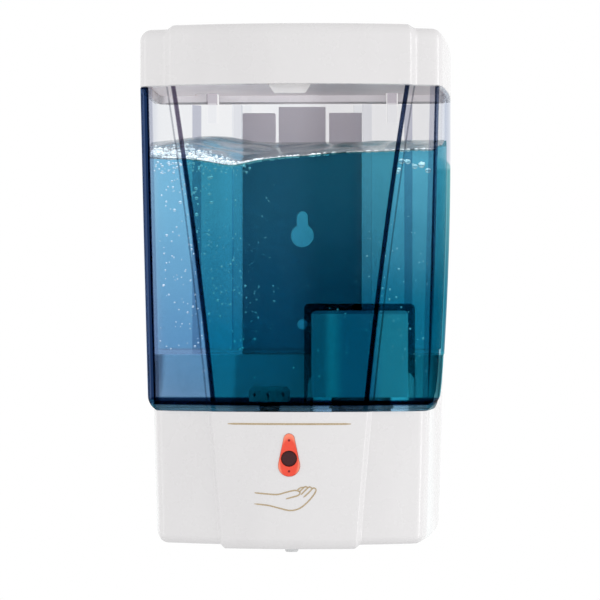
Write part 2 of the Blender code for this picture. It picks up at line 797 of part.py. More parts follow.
def make_board_chip(mat):
    chip = add("control_chip", box((-33.0, BOARD_Y - 2.3, 25.0), (-23.0, BOARD_Y - 0.6, 31.0)), mat)
    pins = []
    for i in range(7):
        x = -32.2 + i * 1.25
        pins.append(box((x, BOARD_Y - 1.2, 23.4), (x + 0.6, BOARD_Y - GAP, 32.6)))
    return join(chip, "chip_pins", together(*pins))


def make_capacitor(mat):
    profile = [(3.6, BOARD_Y - 9.6), (4.0, BOARD_Y - 9.2), (4.0, BOARD_Y - 2.2), (3.7, BOARD_Y - 1.8),
               (4.0, BOARD_Y - 1.4), (4.0, BOARD_Y - GAP)]
    return add("smoothing_capacitor", across(profile, (-18.5, 38.5), 18), mat)


def make_board_connector(mat):
    plug = add("board_connector", box((-42.0, BOARD_Y - 6.0, 36.0), (-30.0, BOARD_Y - GAP, 42.0)), mat)
    cut(plug, "connector_mouth", box((-41.0, BOARD_Y - 9.0, 37.0), (-31.0, BOARD_Y - 1.6, 41.0)))
    return plug


def make_switch(body_mat, slider_mat):
    low = DOOR_H[1] + GAP
    body = add("switch_body", box((SWITCH_X - 6.5, SWITCH_Y - 3.2, low),
                                  (SWITCH_X + 6.5, SWITCH_Y + 3.2, low + 7.0)), body_mat)
    cut(body, "switch_track", box((SWITCH_X - 4.4, SWITCH_Y - 1.6, 0.0),
                                  (SWITCH_X + 4.4, SWITCH_Y + 1.6, low + 4.0)))
    x0 = SWITCH_X - 3.6
    slider = add("switch_slider", box((x0, SWITCH_Y - 1.3, 0.9), (x0 + 4.0, SWITCH_Y + 1.3, low + 3.7)),
                 slider_mat, (x0 + 2.0, SWITCH_Y, low))
    for i in range(3):
        x = x0 + 0.8 + i * 1.0
        cut(slider, "grip_%d" % i, box((x, SWITCH_Y - 3.0, -1.0), (x + 0.4, SWITCH_Y + 3.0, 1.4)))
    return body, slider


# --- batteries ----------------------------------------------------------------------------------

def cell_x(i):
    return (i - (CELL_COUNT - 1) / 2) * CELL_PITCH


def make_battery(i, mat):
    """AA cell; every other one stands on its head."""
    nub = 1.3
    shape = [(6.6, 0.0), (CELL_R, 0.5), (CELL_R, CELL_LEN - nub - 0.6), (6.5, CELL_LEN - nub),
             (2.75, CELL_LEN - nub), (2.75, CELL_LEN)]
    if i % 2:
        shape = [(radius, CELL_LEN - h) for radius, h in reversed(shape)]
    low = CELL_LOW_H
    profile = [(radius, low + h) for radius, h in shape]
    return add("battery_%d" % (i + 1), turned(profile, (cell_x(i), CELL_Y), 24), mat)


def make_battery_box(mat):
    half = BOX_HALF_X
    wall = BOX_WALL
    case = add("battery_box", box((-half, BOX_Y[0], BOX_H[0]), (half, BOX_Y[1], BOX_H[1])), mat)
    cut(case, "battery_room", box((-half + wall, BOX_Y[0] + wall, -5.0),
                                  (half - wall, BOX_Y[1] - wall, BOX_H[1] - wall)))
    return case


def contact_spring(x, low, high, wide_low=True):
    """Conical spring of two turns that bears on a cell's flat end."""
    path = []
    turns = 2
    steps = 9 * turns
    for i in range(steps + 1):
        share = i / steps
        radius = 3.4 - 1.2 * (share if wide_low else 1 - share)
        t = 2 * math.pi * turns * share
        h = low + 0.4 + (high - low - 0.8) * share
        path.append((x + radius * math.cos(t), CELL_Y + radius * math.sin(t), h))
    return swept(path, 0.35, sides=5)


def contact_plate(x0, x1, low):
    return box((x0 - 5.0, CELL_Y - 4.5, low), (x1 + 5.0, CELL_Y + 4.5, low + 0.5))


def make_upper_contacts(mat):
    low = BOX_H[1] - BOX_WALL - GAP - 0.5
    top = CELL_LOW_H + CELL_LEN
    for label, first in (("left", 0), ("right", 2)):
        plate = contact_plate(cell_x(first), cell_x(first + 1), low)
        contact = add("upper_contact_" + label, plate, mat)
        spring = contact_spring(cell_x(first + 1), top + GAP, low + 0.2, False)
        join(contact, "upper_spring_" + label, spring)


def make_door_contacts(mat):
    low = DOOR_H[1] + GAP
    pivot = (0.0, DOOR_AXIS_Y, 3.5)
    for number, first, last in ((1, 0, 0), (2, 1, 2), (3, 3, 3)):
        plate = contact_plate(cell_x(first), cell_x(last), low)
        contact = add("door_contact_%d" % number, plate, mat, pivot)
        if last % 2 == 0:
            spring = contact_spring(cell_x(last), low + 0.3, CELL_LOW_H - GAP)
            join(contact, "door_spring_%d" % number, spring)


def make_battery_door(mat):
    low, high = DOOR_H
    pivot = (0.0, DOOR_AXIS_Y, 3.5)
    door = add("battery_door", box((-DOOR_HALF_X, DOOR_Y[0], low), (DOOR_HALF_X, DOOR_Y[1], high)),
               mat, pivot)
    join(door, "door_tongue", box((-11.0, DOOR_AXIS_Y, low + 0.1), (11.0, DOOR_Y[0] + 1.0, high - 0.1)))
    join(door, "door_barrel", prism(circle(1.6, 14, (DOOR_AXIS_Y, 3.5)), -11.9, 11.9, "x"))
    cut(door, "barrel_bore", prism(circle(1.1, 12, (DOOR_AXIS_Y, 3.5)), -13.0, 13.0, "x"))
    cut(door, "finger_groove", box((-9.0, DOOR_Y[1] - 4.0, 0.0), (9.0, DOOR_Y[1] - 2.6, low + 0.8)))
    return door


def make_door_pin(mat):
    pin = prism(circle(0.8, 12, (DOOR_AXIS_Y, 3.5)), -16.6, 16.6, "x")
    return add("door_hinge_pin", pin, mat)


# --- drive and pump -----------------------------------------------------------------------------

def stadium(grow=0.0):
    radius = 8.4 + grow
    left = (PUMP_X - GEAR_SPACING, PUMP_Y)
    return arc((PUMP_X, PUMP_Y), radius, -90, 90, 8) + arc(left, radius, 90, 270, 8)


def gear_outline(centre, phase):
    """Involute teeth, 20 degree pressure angle, with a straight root below the base circle."""
    pitch_r = GEAR_MODULE * GEAR_TEETH / 2
    base_r = pitch_r * math.cos(math.radians(20))
    tip_r = pitch_r + GEAR_MODULE
    root_r = pitch_r - 1.3 * GEAR_MODULE
    at_pitch = math.pi / (2 * GEAR_TEETH) + math.tan(math.radians(20)) - math.radians(20)

    def half_angle(radius):
        lean = math.acos(base_r / radius)
        return at_pitch - (math.tan(lean) - lean)

    flank = [(root_r, half_angle(base_r) + 0.02), (base_r, half_angle(base_r)),
             (0.5 * (base_r + tip_r), half_angle(0.5 * (base_r + tip_r))), (tip_r, half_angle(tip_r))]
    outline = []
    for tooth in range(GEAR_TEETH):
        middle = phase + 2 * math.pi * tooth / GEAR_TEETH
        for radius, spread in flank:
            outline.append((radius, middle - spread))
        for radius, spread in reversed(flank):
            outline.append((radius, middle + spread))
    return [(centre[0] + r * math.cos(t), centre[1] + r * math.sin(t)) for r, t in outline]


def make_gear(name, mat, x, phase):
    outline = gear_outline((x, PUMP_Y), phase)
    gear = add(name, prism(outline, GEAR_H[0], GEAR_H[1]), mat, (x, PUMP_Y, GEAR_H[0]))
    cut(gear, name + "_bore", prism(circle(SHAFT_R + GAP, 12, (x, PUMP_Y)), 20.0, 50.0))
    return gear


def make_pump_body(mat):
    idler_x = PUMP_X - GEAR_SPACING
    middle_x = (PUMP_X + idler_x) / 2
    body = add("pump_body", prism(stadium(), PUMP_LOW_H, PUMP_TOP_H), mat)
    outlet = [(middle_x, PUMP_Y - 7.0, 36.0), (middle_x, PUMP_Y - 11.5, 36.0)]
    inlet = [(middle_x, PUMP_Y + 7.0, 36.0), (middle_x, PUMP_Y + 11.5, 36.0)]
    join(body, "outlet_port", swept(outlet, 1.9, sides=12))
    join(body, "inlet_port", swept(inlet, 1.9, sides=12))
    for label, x in (("drive", PUMP_X), ("idler", idler_x)):
        cut(body, "gear_room_" + label, prism(circle(6.3, 24, (x, PUMP_Y)), 32.6, 50.0))
    through = [(middle_x, -95.0, 36.0), (middle_x, -50.0, 36.0)]
    cut(body, "pump_way", swept(through, 1.1, sides=8))
    return body


def make_pump_cover(mat):
    low = PUMP_TOP_H + GAP
    cover = add("pump_cover", prism(stadium(), low, low + PUMP_COVER_T), mat)
    cut(cover, "shaft_hole", prism(circle(SHAFT_R + GAP, 12, (PUMP_X, PUMP_Y)), 20.0, 60.0))
    return cover


def make_idler_pin(mat):
    pin = [(0.8, 32.9), (1.0, 33.1), (1.0, 39.7), (0.8, 39.9)]
    return add("idler_pin", turned(pin, (PUMP_X - GEAR_SPACING, PUMP_Y), 12), mat)


def make_motor(can_mat, cap_mat, shaft_mat):
    low = PUMP_TOP_H + PUMP_COVER_T + 2 * GAP
    top = low + MOTOR_LEN
    middle = (PUMP_X, PUMP_Y)
    can = add("motor_can", turned([(MOTOR_R - 0.8, low), (MOTOR_R, low + 0.8), (MOTOR_R, top - 0.5),
                                   (MOTOR_R - 0.5, top)], middle, 24), can_mat)
    cut(can, "motor_bore", prism(circle(SHAFT_R + GAP, 12, middle), 20.0, low + 8.0))
    cap = add("motor_end_cap", turned([(MOTOR_R - 1.0, top + GAP), (MOTOR_R - 1.0, top + 2.4),
                                       (4.0, top + 2.8), (4.0, top + 4.6), (3.0, top + 5.0)],
                                      middle, 24), cap_mat)
    shaft = add("motor_shaft", turned([(0.8, 33.0), (SHAFT_R, 33.3), (SHAFT_R, low + 7.0)],
                                      middle, 12), shaft_mat, (PUMP_X, PUMP_Y, 33.0))
    return can, cap, shaft


# --- soap way -----------------------------------------------------------------------------------

def make_inlet_fitting(mat):
    section = [(1.2, 45.2), (1.9, 45.2), (1.9, 49.0), (3.8, 50.0), (3.8, 56.1), (7.0, 56.1),
               (7.0, 57.6), (1.2, 57.6)]
    return add("inlet_fitting", spun_section(section, (INLET_X, INLET_Y), 16), mat)


def make_inlet_strainer(mat):
    section = [(7.4, 56.1), (8.2, 56.1), (8.2, 60.5), (7.0, 62.0), (0.6, 62.0), (0.6, 61.2),
               (6.6, 61.2), (7.4, 60.2)]
    strainer = add("inlet_strainer", spun_section(section, (INLET_X, INLET_Y), 16), mat)
    for i in range(4):
        turn = math.pi * i / 4
        side = Vector((math.cos(turn), math.sin(turn), 0.0))
        middle = Vector((INLET_X, INLET_Y, 59.0))
        slot = [tuple(middle - side * 12.0), tuple(middle + side * 12.0)]
        cut(strainer, "strainer_slot_%d" % i, swept(slot, 0.9, sides=6))
    return strainer


def make_tubes(mat):
    middle_x = PUMP_X - GEAR_SPACING / 2
    rear_y = PUMP_Y + 8.4 + GAP
    front_y = PUMP_Y - 8.4 - GAP
    inlet = [(middle_x, rear_y, 36.0), (middle_x, rear_y + 2.5, 36.0), (middle_x, rear_y + 5.0, 36.0),
             (14.5, -54.0, 35.0), (1.0, -57.0, 32.5), (-8.0, -67.0, 31.0), (-10.0, -78.5, 31.5),
             (INLET_X, -87.0, 35.5), (INLET_X, INLET_Y, 41.0), (INLET_X, INLET_Y, 45.0),
             (INLET_X, INLET_Y, 48.6)]
    outlet = [(middle_x, front_y, 36.0), (middle_x, front_y - 2.5, 36.0), (middle_x, front_y - 5.0, 36.0),
              (16.5, -92.8, 33.0), (9.0, -95.5, 29.5), (2.5, -94.5, 27.0), (0.0, NOZZLE_Y, 22.5),
              (0.0, NOZZLE_Y, 18.0), (0.0, NOZZLE_Y, 13.4)]
    tubes = []
    for name, knots in (("inlet_tube", inlet), ("outlet_tube", outlet)):
        tubes.append(add(name, swept(smooth_path(knots, 3), TUBE_OUT_R, TUBE_IN_R, 10), mat))
    return tubes


def make_nozzle(mat):
    section = [(1.2, NOZZLE_TIP_H), (2.3, NOZZLE_TIP_H), (2.8, NOZZLE_TIP_H + 1.0), (4.8, 1.0),
               (4.8, 12.0), (4.0, 13.0), (1.9, 13.0), (1.9, 17.0), (1.2, 17.0)]
    return add("nozzle", spun_section(section, (0.0, NOZZLE_Y), 20), mat)


# --- assembly -----------------------------------------------------------------------------------

def main():
    clear_scene()
    white = material("white_gloss_plastic", (0.86, 0.85, 0.85), 0.22)
    frosted = material("white_matt_plastic", (0.78, 0.78, 0.78), 0.5)
    clear = material("smoky_clear_plastic", (0.42, 0.52, 0.68), 0.05, transmission=0.9)
    orange = material("orange_window", (0.95, 0.19, 0.11), 0.25)
    dark = material("dark_lens", (0.03, 0.012, 0.014), 0.08)
    green = material("board_green", (0.02, 0.16, 0.07), 0.45)
    black = material("black_plastic", (0.02, 0.02, 0.022), 0.4)
    steel = material("bright_steel", (0.62, 0.62, 0.64), 0.25, 1.0)
    zinc = material("motor_steel", (0.5, 0.5, 0.5), 0.38, 1.0)
    nylon = material("nylon", (0.82, 0.80, 0.72), 0.42)
    silicone = material("silicone", (0.78, 0.80, 0.80), 0.35)
    wrap = material("battery_wrap", (0.05, 0.06, 0.08), 0.3)

    make_wall_bracket(frosted)
    make_tank(clear)
    make_inlet_strainer(nylon)
    make_inlet_fitting(nylon)
    make_lid(white)
    make_lid_liner(frosted)
    make_lid_catch(frosted)
    make_hinge_pins(steel)
    make_base_housing(white)
    make_bottom_cover(white)
    make_cover_screws(steel)
    make_sensor_window(orange)
    make_sensor_lens(dark)
    make_emitter("infrared_receiver", black, LENS_H, -106.4)
    make_emitter("infrared_emitter", dark, 41.2, -106.4)
    make_emitter("indicator_light", orange, 29.6, -106.4, 0.9)
    make_sensor_board(green)
    make_control_board(green)
    make_board_chip(black)
    make_capacitor(black)
    make_board_connector(nylon)
    make_switch(black, black)
    make_battery_box(frosted)
    for i in range(CELL_COUNT):
        make_battery(i, wrap)
    make_upper_contacts(steel)
    make_battery_door(white)
    make_door_contacts(steel)
    make_door_pin(steel)
    make_pump_body(nylon)
    make_pump_cover(nylon)
    make_gear("drive_gear", nylon, PUMP_X, math.pi)
    make_gear("idler_gear", nylon, PUMP_X - GEAR_SPACING, math.pi / GEAR_TEETH)
    make_idler_pin(steel)
    make_motor(zinc, black, steel)
    make_tubes(silicone)
    make_nozzle(silicone)


main()
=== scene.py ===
"""Wall mounted soap dispenser: a clear tank of blue soap between a white lid and a white base.

Plan sizes are in millimetres: x to the right, y towards the wall, h up from the base's lower edge.
"""
import math
import random

import bmesh
import bpy
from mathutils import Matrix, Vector

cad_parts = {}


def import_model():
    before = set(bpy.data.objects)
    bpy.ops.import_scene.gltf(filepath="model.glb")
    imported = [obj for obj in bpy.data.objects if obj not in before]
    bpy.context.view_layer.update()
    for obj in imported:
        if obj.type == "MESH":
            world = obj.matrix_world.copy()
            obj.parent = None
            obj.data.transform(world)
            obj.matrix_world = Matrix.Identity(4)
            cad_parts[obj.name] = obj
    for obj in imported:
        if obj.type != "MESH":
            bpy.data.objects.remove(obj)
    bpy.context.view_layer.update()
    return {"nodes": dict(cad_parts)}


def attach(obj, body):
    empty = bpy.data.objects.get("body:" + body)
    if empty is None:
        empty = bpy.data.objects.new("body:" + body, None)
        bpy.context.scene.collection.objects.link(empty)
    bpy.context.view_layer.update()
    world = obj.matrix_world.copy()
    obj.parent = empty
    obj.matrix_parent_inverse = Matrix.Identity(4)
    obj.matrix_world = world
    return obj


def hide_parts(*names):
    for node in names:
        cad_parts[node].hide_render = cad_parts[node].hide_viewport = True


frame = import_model()

MM = 0.001
ORIGIN_H = 106.0

# Plan of the body
FRONT_Y = -112.0
PANEL_FOOT_HALF = 25.5
PANEL_SPREAD = 0.0722
PANEL_CURVE = 0.000241
PANEL_PROUD = 2.3
PANEL_SLANT = 2.4
REAR_Y = -1.2
FRONT_BOW = 9.7
SIDE_RUN = 80.0
CORNER_RADIUS = 5.0
REAR_RADIUS = 8.0
TANK_FRONT_HALF = 59.2
TANK_TAPER = 0.024
TAPER_TOP_H = 180.0
TANK_REAR_HALF = 63.3
TANK_BULGE = 0.00035
BULGE_H = 160.0
BASE_FRONT_HALF = 52.7
BASE_FRONT_TAPER = 0.025
BASE_REAR_HALF = 59.8
BASE_REAR_TAPER = 0.031

# Heights
SEAM_H = 53.1
STEP_H = 73.8
STEP_START = 80.0
STEP_END = 46.0
LID_SEAM_H = 180.3
SHOULDER_H = 202.9
BAND_H = 204.2
BAND_HALF = 46.4
BAND_SLOPE = 3.6
LID_EDGE = 4.5
WING_BOTTOM_H = 0.9
PANEL_LIP = 1.4
GAP = 0.3
ABOVE = 260.0
BELOW = -60.0

# Walls
TANK_WALL = 2.4
BASE_WALL = 3.0
LID_WALL = 2.2

# Hinge of the lid
HINGE_Y = -8.7
HINGE_H = 196.0
HINGE_REACH = 8.2
SKIRT_REACH = 15.6
HINGE_BORE_R = 1.8
EAR_X = 36.5
EAR_T = 4.0
EAR_R = 4.2
EAR_LOW_H = 172.0

# Channel at the back of the tank
CHANNEL_FRONT_Y = -7.5
CHANNEL_HALF = 26.0
CHANNEL_SIDE_T = 3.8
LIP_HALF = 22.0
LIP_FRONT_Y = -3.6
REAR_STEP_X = 44.0
REAR_STEP_SLANT = 3.2
REAR_STEP_D = 4.0

# Pump dome inside the tank
DOME_X = (4.8, 48.6)
DOME_Y = (-95.0, -51.0)
DOME_TOP_H = 95.0
DOME_R = 5.0

random.seed(7)


# ---- mesh tools ----

def world(point):
    x, y, h = point
    return (x * MM, y * MM, (h - ORIGIN_H) * MM)


def add_object(name, data):
    item = bpy.data.objects.new(name, data)
    bpy.context.scene.collection.objects.link(item)
    return item


def new_piece(name, points, faces, mat, smooth_angle=40.0):
    mesh = bpy.data.meshes.new(name)
    mesh.from_pydata([world(p) for p in points], [], faces)
    mesh.validate()
    piece = add_object(name, mesh)
    if mat:
        mesh.materials.append(mat)
    clean(piece)
    smooth(piece, smooth_angle)
    return piece


def clean(piece, merge=None):
    """Turns the faces outwards, and with merge first welds slivers of that size."""
    bm = bmesh.new()
    bm.from_mesh(piece.data)
    if merge:
        bmesh.ops.remove_doubles(bm, verts=bm.verts, dist=merge * MM)
        bmesh.ops.dissolve_degenerate(bm, edges=bm.edges, dist=merge * MM)
    bmesh.ops.recalc_face_normals(bm, faces=bm.faces)
    bm.to_mesh(piece.data)
    bm.free()


def smooth(piece, angle):
    mesh = piece.data
    mesh.shade_smooth()
    mesh.set_sharp_from_angle(angle=math.radians(angle))


def apply_modifier(piece, modifier):
    bpy.context.view_layer.update()
    graph = bpy.context.evaluated_depsgraph_get()
    mesh = bpy.data.meshes.new_from_object(piece.evaluated_get(graph))
    old = piece.data
    piece.modifiers.remove(modifier)
    piece.data = mesh
    mesh.name = piece.name
    bpy.data.meshes.remove(old)


def combine(piece, shape, operation):
    """Boolean of a piece with a shape."""
    combine_piece(piece, new_piece("guide", *shape, None), operation)


def combine_piece(piece, guide, operation):
    """Boolean of a piece with another, which is used up."""
    modifier = piece.modifiers.new("cut", "BOOLEAN")
    modifier.operation = operation
    modifier.solver = "EXACT"
    modifier.object = guide
    apply_modifier(piece, modifier)
    bpy.data.objects.remove(guide)


def finish_mesh(piece, angle=40.0):
    """Welds slivers, marks sharp edges and lets the big faces rule the normals."""
    clean(piece, 0.02)
    smooth(piece, angle)
    modifier = piece.modifiers.new("normals", "WEIGHTED_NORMAL")
    modifier.keep_sharp = True
    modifier.weight = 80
    apply_modifier(piece, modifier)


def loft(loops):
    """Closed skin through equal loops, capped at both ends."""
    count = len(loops[0])
    points = [p for loop in loops for p in loop]
    faces = []
    for row in range(len(loops) - 1):
        for i in range(count):
            j = (i + 1) % count
            a = row * count
            faces.append((a + i, a + j, a + count + j, a + count + i))
    faces.append(tuple(reversed(range(count))))
    top = (len(loops) - 1) * count
    faces.append(tuple(top + i for i in range(count)))
    return points, faces


def prism(outline, low, high, axis="h"):
    """Straight prism of an outline given in the two axes other than its own."""
    order = {"h": lambda a, b, c: (a, b, c), "y": lambda a, b, c: (a, c, b),
             "x": lambda a, b, c: (c, a, b)}[axis]
    return loft([[order(a, b, c) for a, b in outline] for c in (low, high)])


def box(low, high):
    outline = [(low[0], low[1]), (high[0], low[1]), (high[0], high[1]), (low[0], high[1])]
    return prism(outline, low[2], high[2])


def arc(centre, radius, start, end, steps):
    spots = []
    for i in range(steps + 1):
        turn = math.radians(start + (end - start) * i / steps)
        spots.append((centre[0] + radius * math.cos(turn), centre[1] + radius * math.sin(turn)))
    return spots


def circle(radius, sides, centre=(0.0, 0.0)):
    return arc(centre, radius, 0.0, 360.0, sides)[:-1]


def rounded_rectangle(low, high, radius):
    left, right = low[0] + radius, high[0] - radius
    front, rear = low[1] + radius, high[1] - radius
    spots = []
    for turn, centre in enumerate(((right, rear), (left, rear), (left, front), (right, front))):
        spots += arc(centre, radius, turn * 90, turn * 90 + 90, 8)
    return spots


def spaced(low, high, steps):
    return [low + (high - low) * i / steps for i in range(steps + 1)]


# ---- plan of the body ----

def panel_half(h):
    """Half width of the raised front panel, which widens upwards."""
    return PANEL_FOOT_HALF + PANEL_SPREAD * h + PANEL_CURVE * h * h


def ease(t):
    return t * t * (3.0 - 2.0 * t)


def tank_widths(h):
    """Half widths of the tank and lid at the front corner and at the rear; the flanks bulge a little."""
    front = TANK_FRONT_HALF - TANK_TAPER * (TAPER_TOP_H - h)
    below = BULGE_H - h
    return front, TANK_REAR_HALF - TANK_BULGE * ((below + abs(below)) / 2.0) ** 2.0


def base_widths(h):
    """Half widths of the base at the front corner and at the rear."""
    below = SEAM_H - h
    return BASE_FRONT_HALF - BASE_FRONT_TAPER * below, BASE_REAR_HALF - BASE_REAR_TAPER * below


def bow_radius(half_front):
    return (half_front ** 2 + FRONT_BOW ** 2) / (2 * FRONT_BOW)


def bow_depth(half_front, x):
    """How far the bowed front falls back at x."""
    radius = bow_radius(half_front)
    return radius - math.sqrt(radius ** 2 - x ** 2)


def body_side(widths, inset, panel, slant, rear_y):
    """Right half of the plan with these half widths, from the front's centre to the rear corner."""
    half_front, half_rear = widths
    flare = half_rear - half_front
    body_y = FRONT_Y + PANEL_PROUD
    bow_r = bow_radius(half_front)
    front_turn = math.asin(half_front / bow_r)
    side_r = (SIDE_RUN ** 2 + flare ** 2) / (2 * flare)
    side_turn = math.asin(SIDE_RUN / side_r)
    corner_y = body_y + FRONT_BOW
    turn = math.pi / 2 - front_turn - side_turn
    reach = CORNER_RADIUS * math.tan(turn / 2)

    def front(x, proud):
        lean = math.asin(x / bow_r)
        y = body_y + bow_depth(half_front, x)
        return x - inset * math.sin(lean), y - proud + inset * math.cos(lean)

    spots = [front(x, PANEL_PROUD) for x in spaced(0.0, panel, PANEL_STEPS)]
    wing_start = panel + slant
    for i in range(1, SLANT_STEPS):
        share = i / SLANT_STEPS
        spots.append(front(panel + slant * share, PANEL_PROUD * (1.0 - ease(share))))
    wing_end = half_front - reach * math.cos(front_turn)
    spots += [front(x, 0.0) for x in spaced(wing_start, wing_end, WING_STEPS)[:-1]]
    start_y = corner_y - reach * math.sin(front_turn)
    middle = (wing_end - CORNER_RADIUS * math.sin(front_turn),
              start_y + CORNER_RADIUS * math.cos(front_turn))
    for lean in spaced(front_turn, front_turn + turn, CORNER_STEPS):
        radius = CORNER_RADIUS - inset
        spots.append((middle[0] + radius * math.sin(lean), middle[1] - radius * math.cos(lean)))
    first = side_turn - reach / side_r
    for lean in spaced(first, 0.0, SIDE_STEPS)[1:]:
        x = half_rear - side_r + (side_r - inset) * math.cos(lean)
        spots.append((x, corner_y + SIDE_RUN - (side_r - inset) * math.sin(lean)))
    rear_middle = (half_rear - REAR_RADIUS, rear_y - REAR_RADIUS)
    spots += arc(rear_middle, REAR_RADIUS - inset, 0, 90, REAR_STEPS)
    return spots


PANEL_STEPS = 12
SLANT_STEPS = 6
WING_STEPS = 8
CORNER_STEPS = 8
SIDE_STEPS = 10
REAR_STEPS = 8
ON_PANEL = PANEL_STEPS + 1


def closed(right_half):
    left_half = [(-x, y) for x, y in reversed(right_half[1:])]
    return right_half + left_half


def level(outline, h):
    return [(x, y, h) for x, y in outline]


def stacked(outline, inset, heights):
    """Closed skin through an outline's loops at these heights."""
    return loft([level(outline(h, inset), h) for h in heights])


def tank_outline(h, inset=0.0):
    side = body_side(tank_widths(h), inset, panel_half(h), PANEL_SLANT, REAR_Y - REAR_STEP_D)
    rear = [(REAR_STEP_X + REAR_STEP_SLANT, REAR_Y - REAR_STEP_D), (REAR_STEP_X, REAR_Y),
            (LIP_HALF, REAR_Y), (LIP_HALF, LIP_FRONT_Y),
            (CHANNEL_HALF, LIP_FRONT_Y), (CHANNEL_HALF, CHANNEL_FRONT_Y)]
    return closed(side + rear)


def tank_inner_outline(h, wall):
    side = body_side(tank_widths(h), wall, panel_half(h), PANEL_SLANT, REAR_Y - REAR_STEP_D)
    half = CHANNEL_HALF + CHANNEL_SIDE_T + wall - TANK_WALL
    rear = [(REAR_STEP_X + REAR_STEP_SLANT, REAR_Y - REAR_STEP_D - wall),
            (REAR_STEP_X, REAR_Y - wall), (half, REAR_Y - wall),
            (half, CHANNEL_FRONT_Y - wall)]
    return closed(side + rear)


def base_outline(h, inset=0.0):
    side = body_side(base_widths(h), inset, panel_half(h), PANEL_SLANT, REAR_Y)
    half = CHANNEL_HALF + 0.5 + inset
    return closed(side + [(half, REAR_Y - inset), (half, CHANNEL_FRONT_Y - inset)])


def seam_profile(shift, wall=0.0):
    """Side view of the seam: level at the front, then sweeping up over the battery bay."""
    low = SEAM_H + shift
    high = STEP_H + shift
    run = abs(STEP_START - STEP_END) - wall
    outline = [(-140.0, low)]
    for y, h in arc((-STEP_START, high), 1.0, -90, 0, 14):
        outline.append((-STEP_START + (y + STEP_START) * run, high + (h - high) * (high - low)))
    outline.append((20.0, high))
    return outline


def seam_block(end, shift, wall=0.0):
    """Everything between the seam and the level end, above or below it."""
    return prism(seam_profile(shift, wall) + [(20.0, end), (-140.0, end)], -90.0, 90.0, "x")


def dome_shape(inset, top, low, edge=2.0):
    """Rounded box of the pump dome, drawn in by inset, with a soft top edge."""
    low_corner = (DOME_X[0] + inset, DOME_Y[0] + inset)
    high_corner = (DOME_X[1] - inset, DOME_Y[1] - inset)
    radius = DOME_R - inset
    loops = [level(rounded_rectangle(low_corner, high_corner, radius), low)]
    for lean in spaced(0.0, math.pi / 2, 5):
        shrink = edge * (1 - math.cos(lean))
        h = top - edge + edge * math.sin(lean)
        corners = [(low_corner[0] + shrink, low_corner[1] + shrink),
                   (high_corner[0] - shrink, high_corner[1] - shrink)]
        loops.append(level(rounded_rectangle(*corners, radius - shrink * 0.9), h))
    return loft(loops)


# ---- tank ----

def tank_loop(h):
    """Outer loop at h, drawn in at the lower corners and sides for a rounded foot."""
    drop = max(0.0, FOOT_TOP_H - h)
    inset = FOOT_R - math.sqrt(max(FOOT_R ** 2 - min(drop, FOOT_R) ** 2, 0.0))
    plain = tank_outline(h, 0.0)
    drawn = tank_outline(h, inset)
    half = (len(plain) + 1) // 2
    first = ON_PANEL + SLANT_STEPS + WING_STEPS // 2
    shares = [ease(min(max((i - first) / (WING_STEPS / 2), 0.0), 1.0)) for i in range(half)]
    shares = shares + list(reversed(shares[1:]))
    loop = []
    for (x, y), (drawn_x, drawn_y), share in zip(plain, drawn, shares):
        loop.append((x + (drawn_x - x) * share, y + (drawn_y - y) * share, h))
    return loop


FOOT_TOP_H = 58.6
FOOT_R = 6.5


def add_hinge_eye(piece, outline, spread):
    """Joins an ear or lug with this side view to a piece, and bores it for the hinge pin."""
    combine(piece, prism(outline, *spread, "x"), "UNION")
    bore = prism(circle(HINGE_BORE_R, 20, (HINGE_Y, HINGE_H)), spread[0] - 1.0, spread[1] + 1.0, "x")
    combine(piece, bore, "DIFFERENCE")


def make_tank(mat):
    heights = spaced(40.0, 64.0, 24) + spaced(70.0, LID_SEAM_H - GAP, 16)
    shell = loft([tank_loop(h) for h in heights])
    tank = new_piece("tank_shell", *shell, mat)
    combine(tank, seam_block(ABOVE, GAP / 2), "INTERSECT")
    room = new_piece("tank_room", *stacked(tank_inner_outline, TANK_WALL, spaced(38.0, 190.0, 22)), None)
    combine(room, seam_block(ABOVE, TANK_WALL, TANK_WALL), "INTERSECT")
    combine(room, dome_shape(0.0, DOME_TOP_H, 30.0), "DIFFERENCE")
    combine_piece(tank, room, "DIFFERENCE")
    recess = dome_shape(TANK_WALL, DOME_TOP_H - TANK_WALL, 30.0)
    combine(tank, recess, "DIFFERENCE")
    combine(tank, prism(circle(4.2, 24, INLET), 40.0, 62.0), "DIFFERENCE")
    for side in (-1, 1):
        spread = sorted((side * EAR_X, side * (EAR_X + EAR_T)))
        foot = [(HINGE_Y - EAR_R, EAR_LOW_H), (REAR_Y - 1.0, EAR_LOW_H), (REAR_Y - 1.0, EAR_LOW_H + 6.6),
                (HINGE_Y + EAR_R, EAR_LOW_H + 9.0)]
        foot += arc((HINGE_Y, HINGE_H), EAR_R, 0, 180, 20)
        add_hinge_eye(tank, foot, spread)
    finish_mesh(tank)
    return tank


INLET = (-9.0, -88.0)


# ---- lid ----

def lid_half(inset):
    """Right half of the lid's plan, with the raised band's stations at the front and the rear."""
    side = body_side(tank_widths(LID_SEAM_H), inset, BAND_HALF, BAND_SLOPE, REAR_Y)
    rear = [(BAND_HALF + BAND_SLOPE * i / SLANT_STEPS, REAR_Y - inset)
            for i in range(SLANT_STEPS, -1, -1)]
    return side + rear


def lid_point(x, y, share, rise):
    """A lid point at a share of the lid's height, kept inside the hinge's free circle."""
    top = SHOULDER_H + (BAND_H - SHOULDER_H) * rise
    h = LID_SEAM_H + share * (top - LID_SEAM_H)
    behind = y - HINGE_Y
    if share == 0.0 and behind > 0.0:
        h = HINGE_H - math.sqrt(SKIRT_REACH ** 2 - behind ** 2)
    above = h - HINGE_H
    if above > 0.0:
        y = min(y, HINGE_Y + math.sqrt(max(HINGE_REACH ** 2 - above ** 2, 0.0)))
    return (x, y, h)


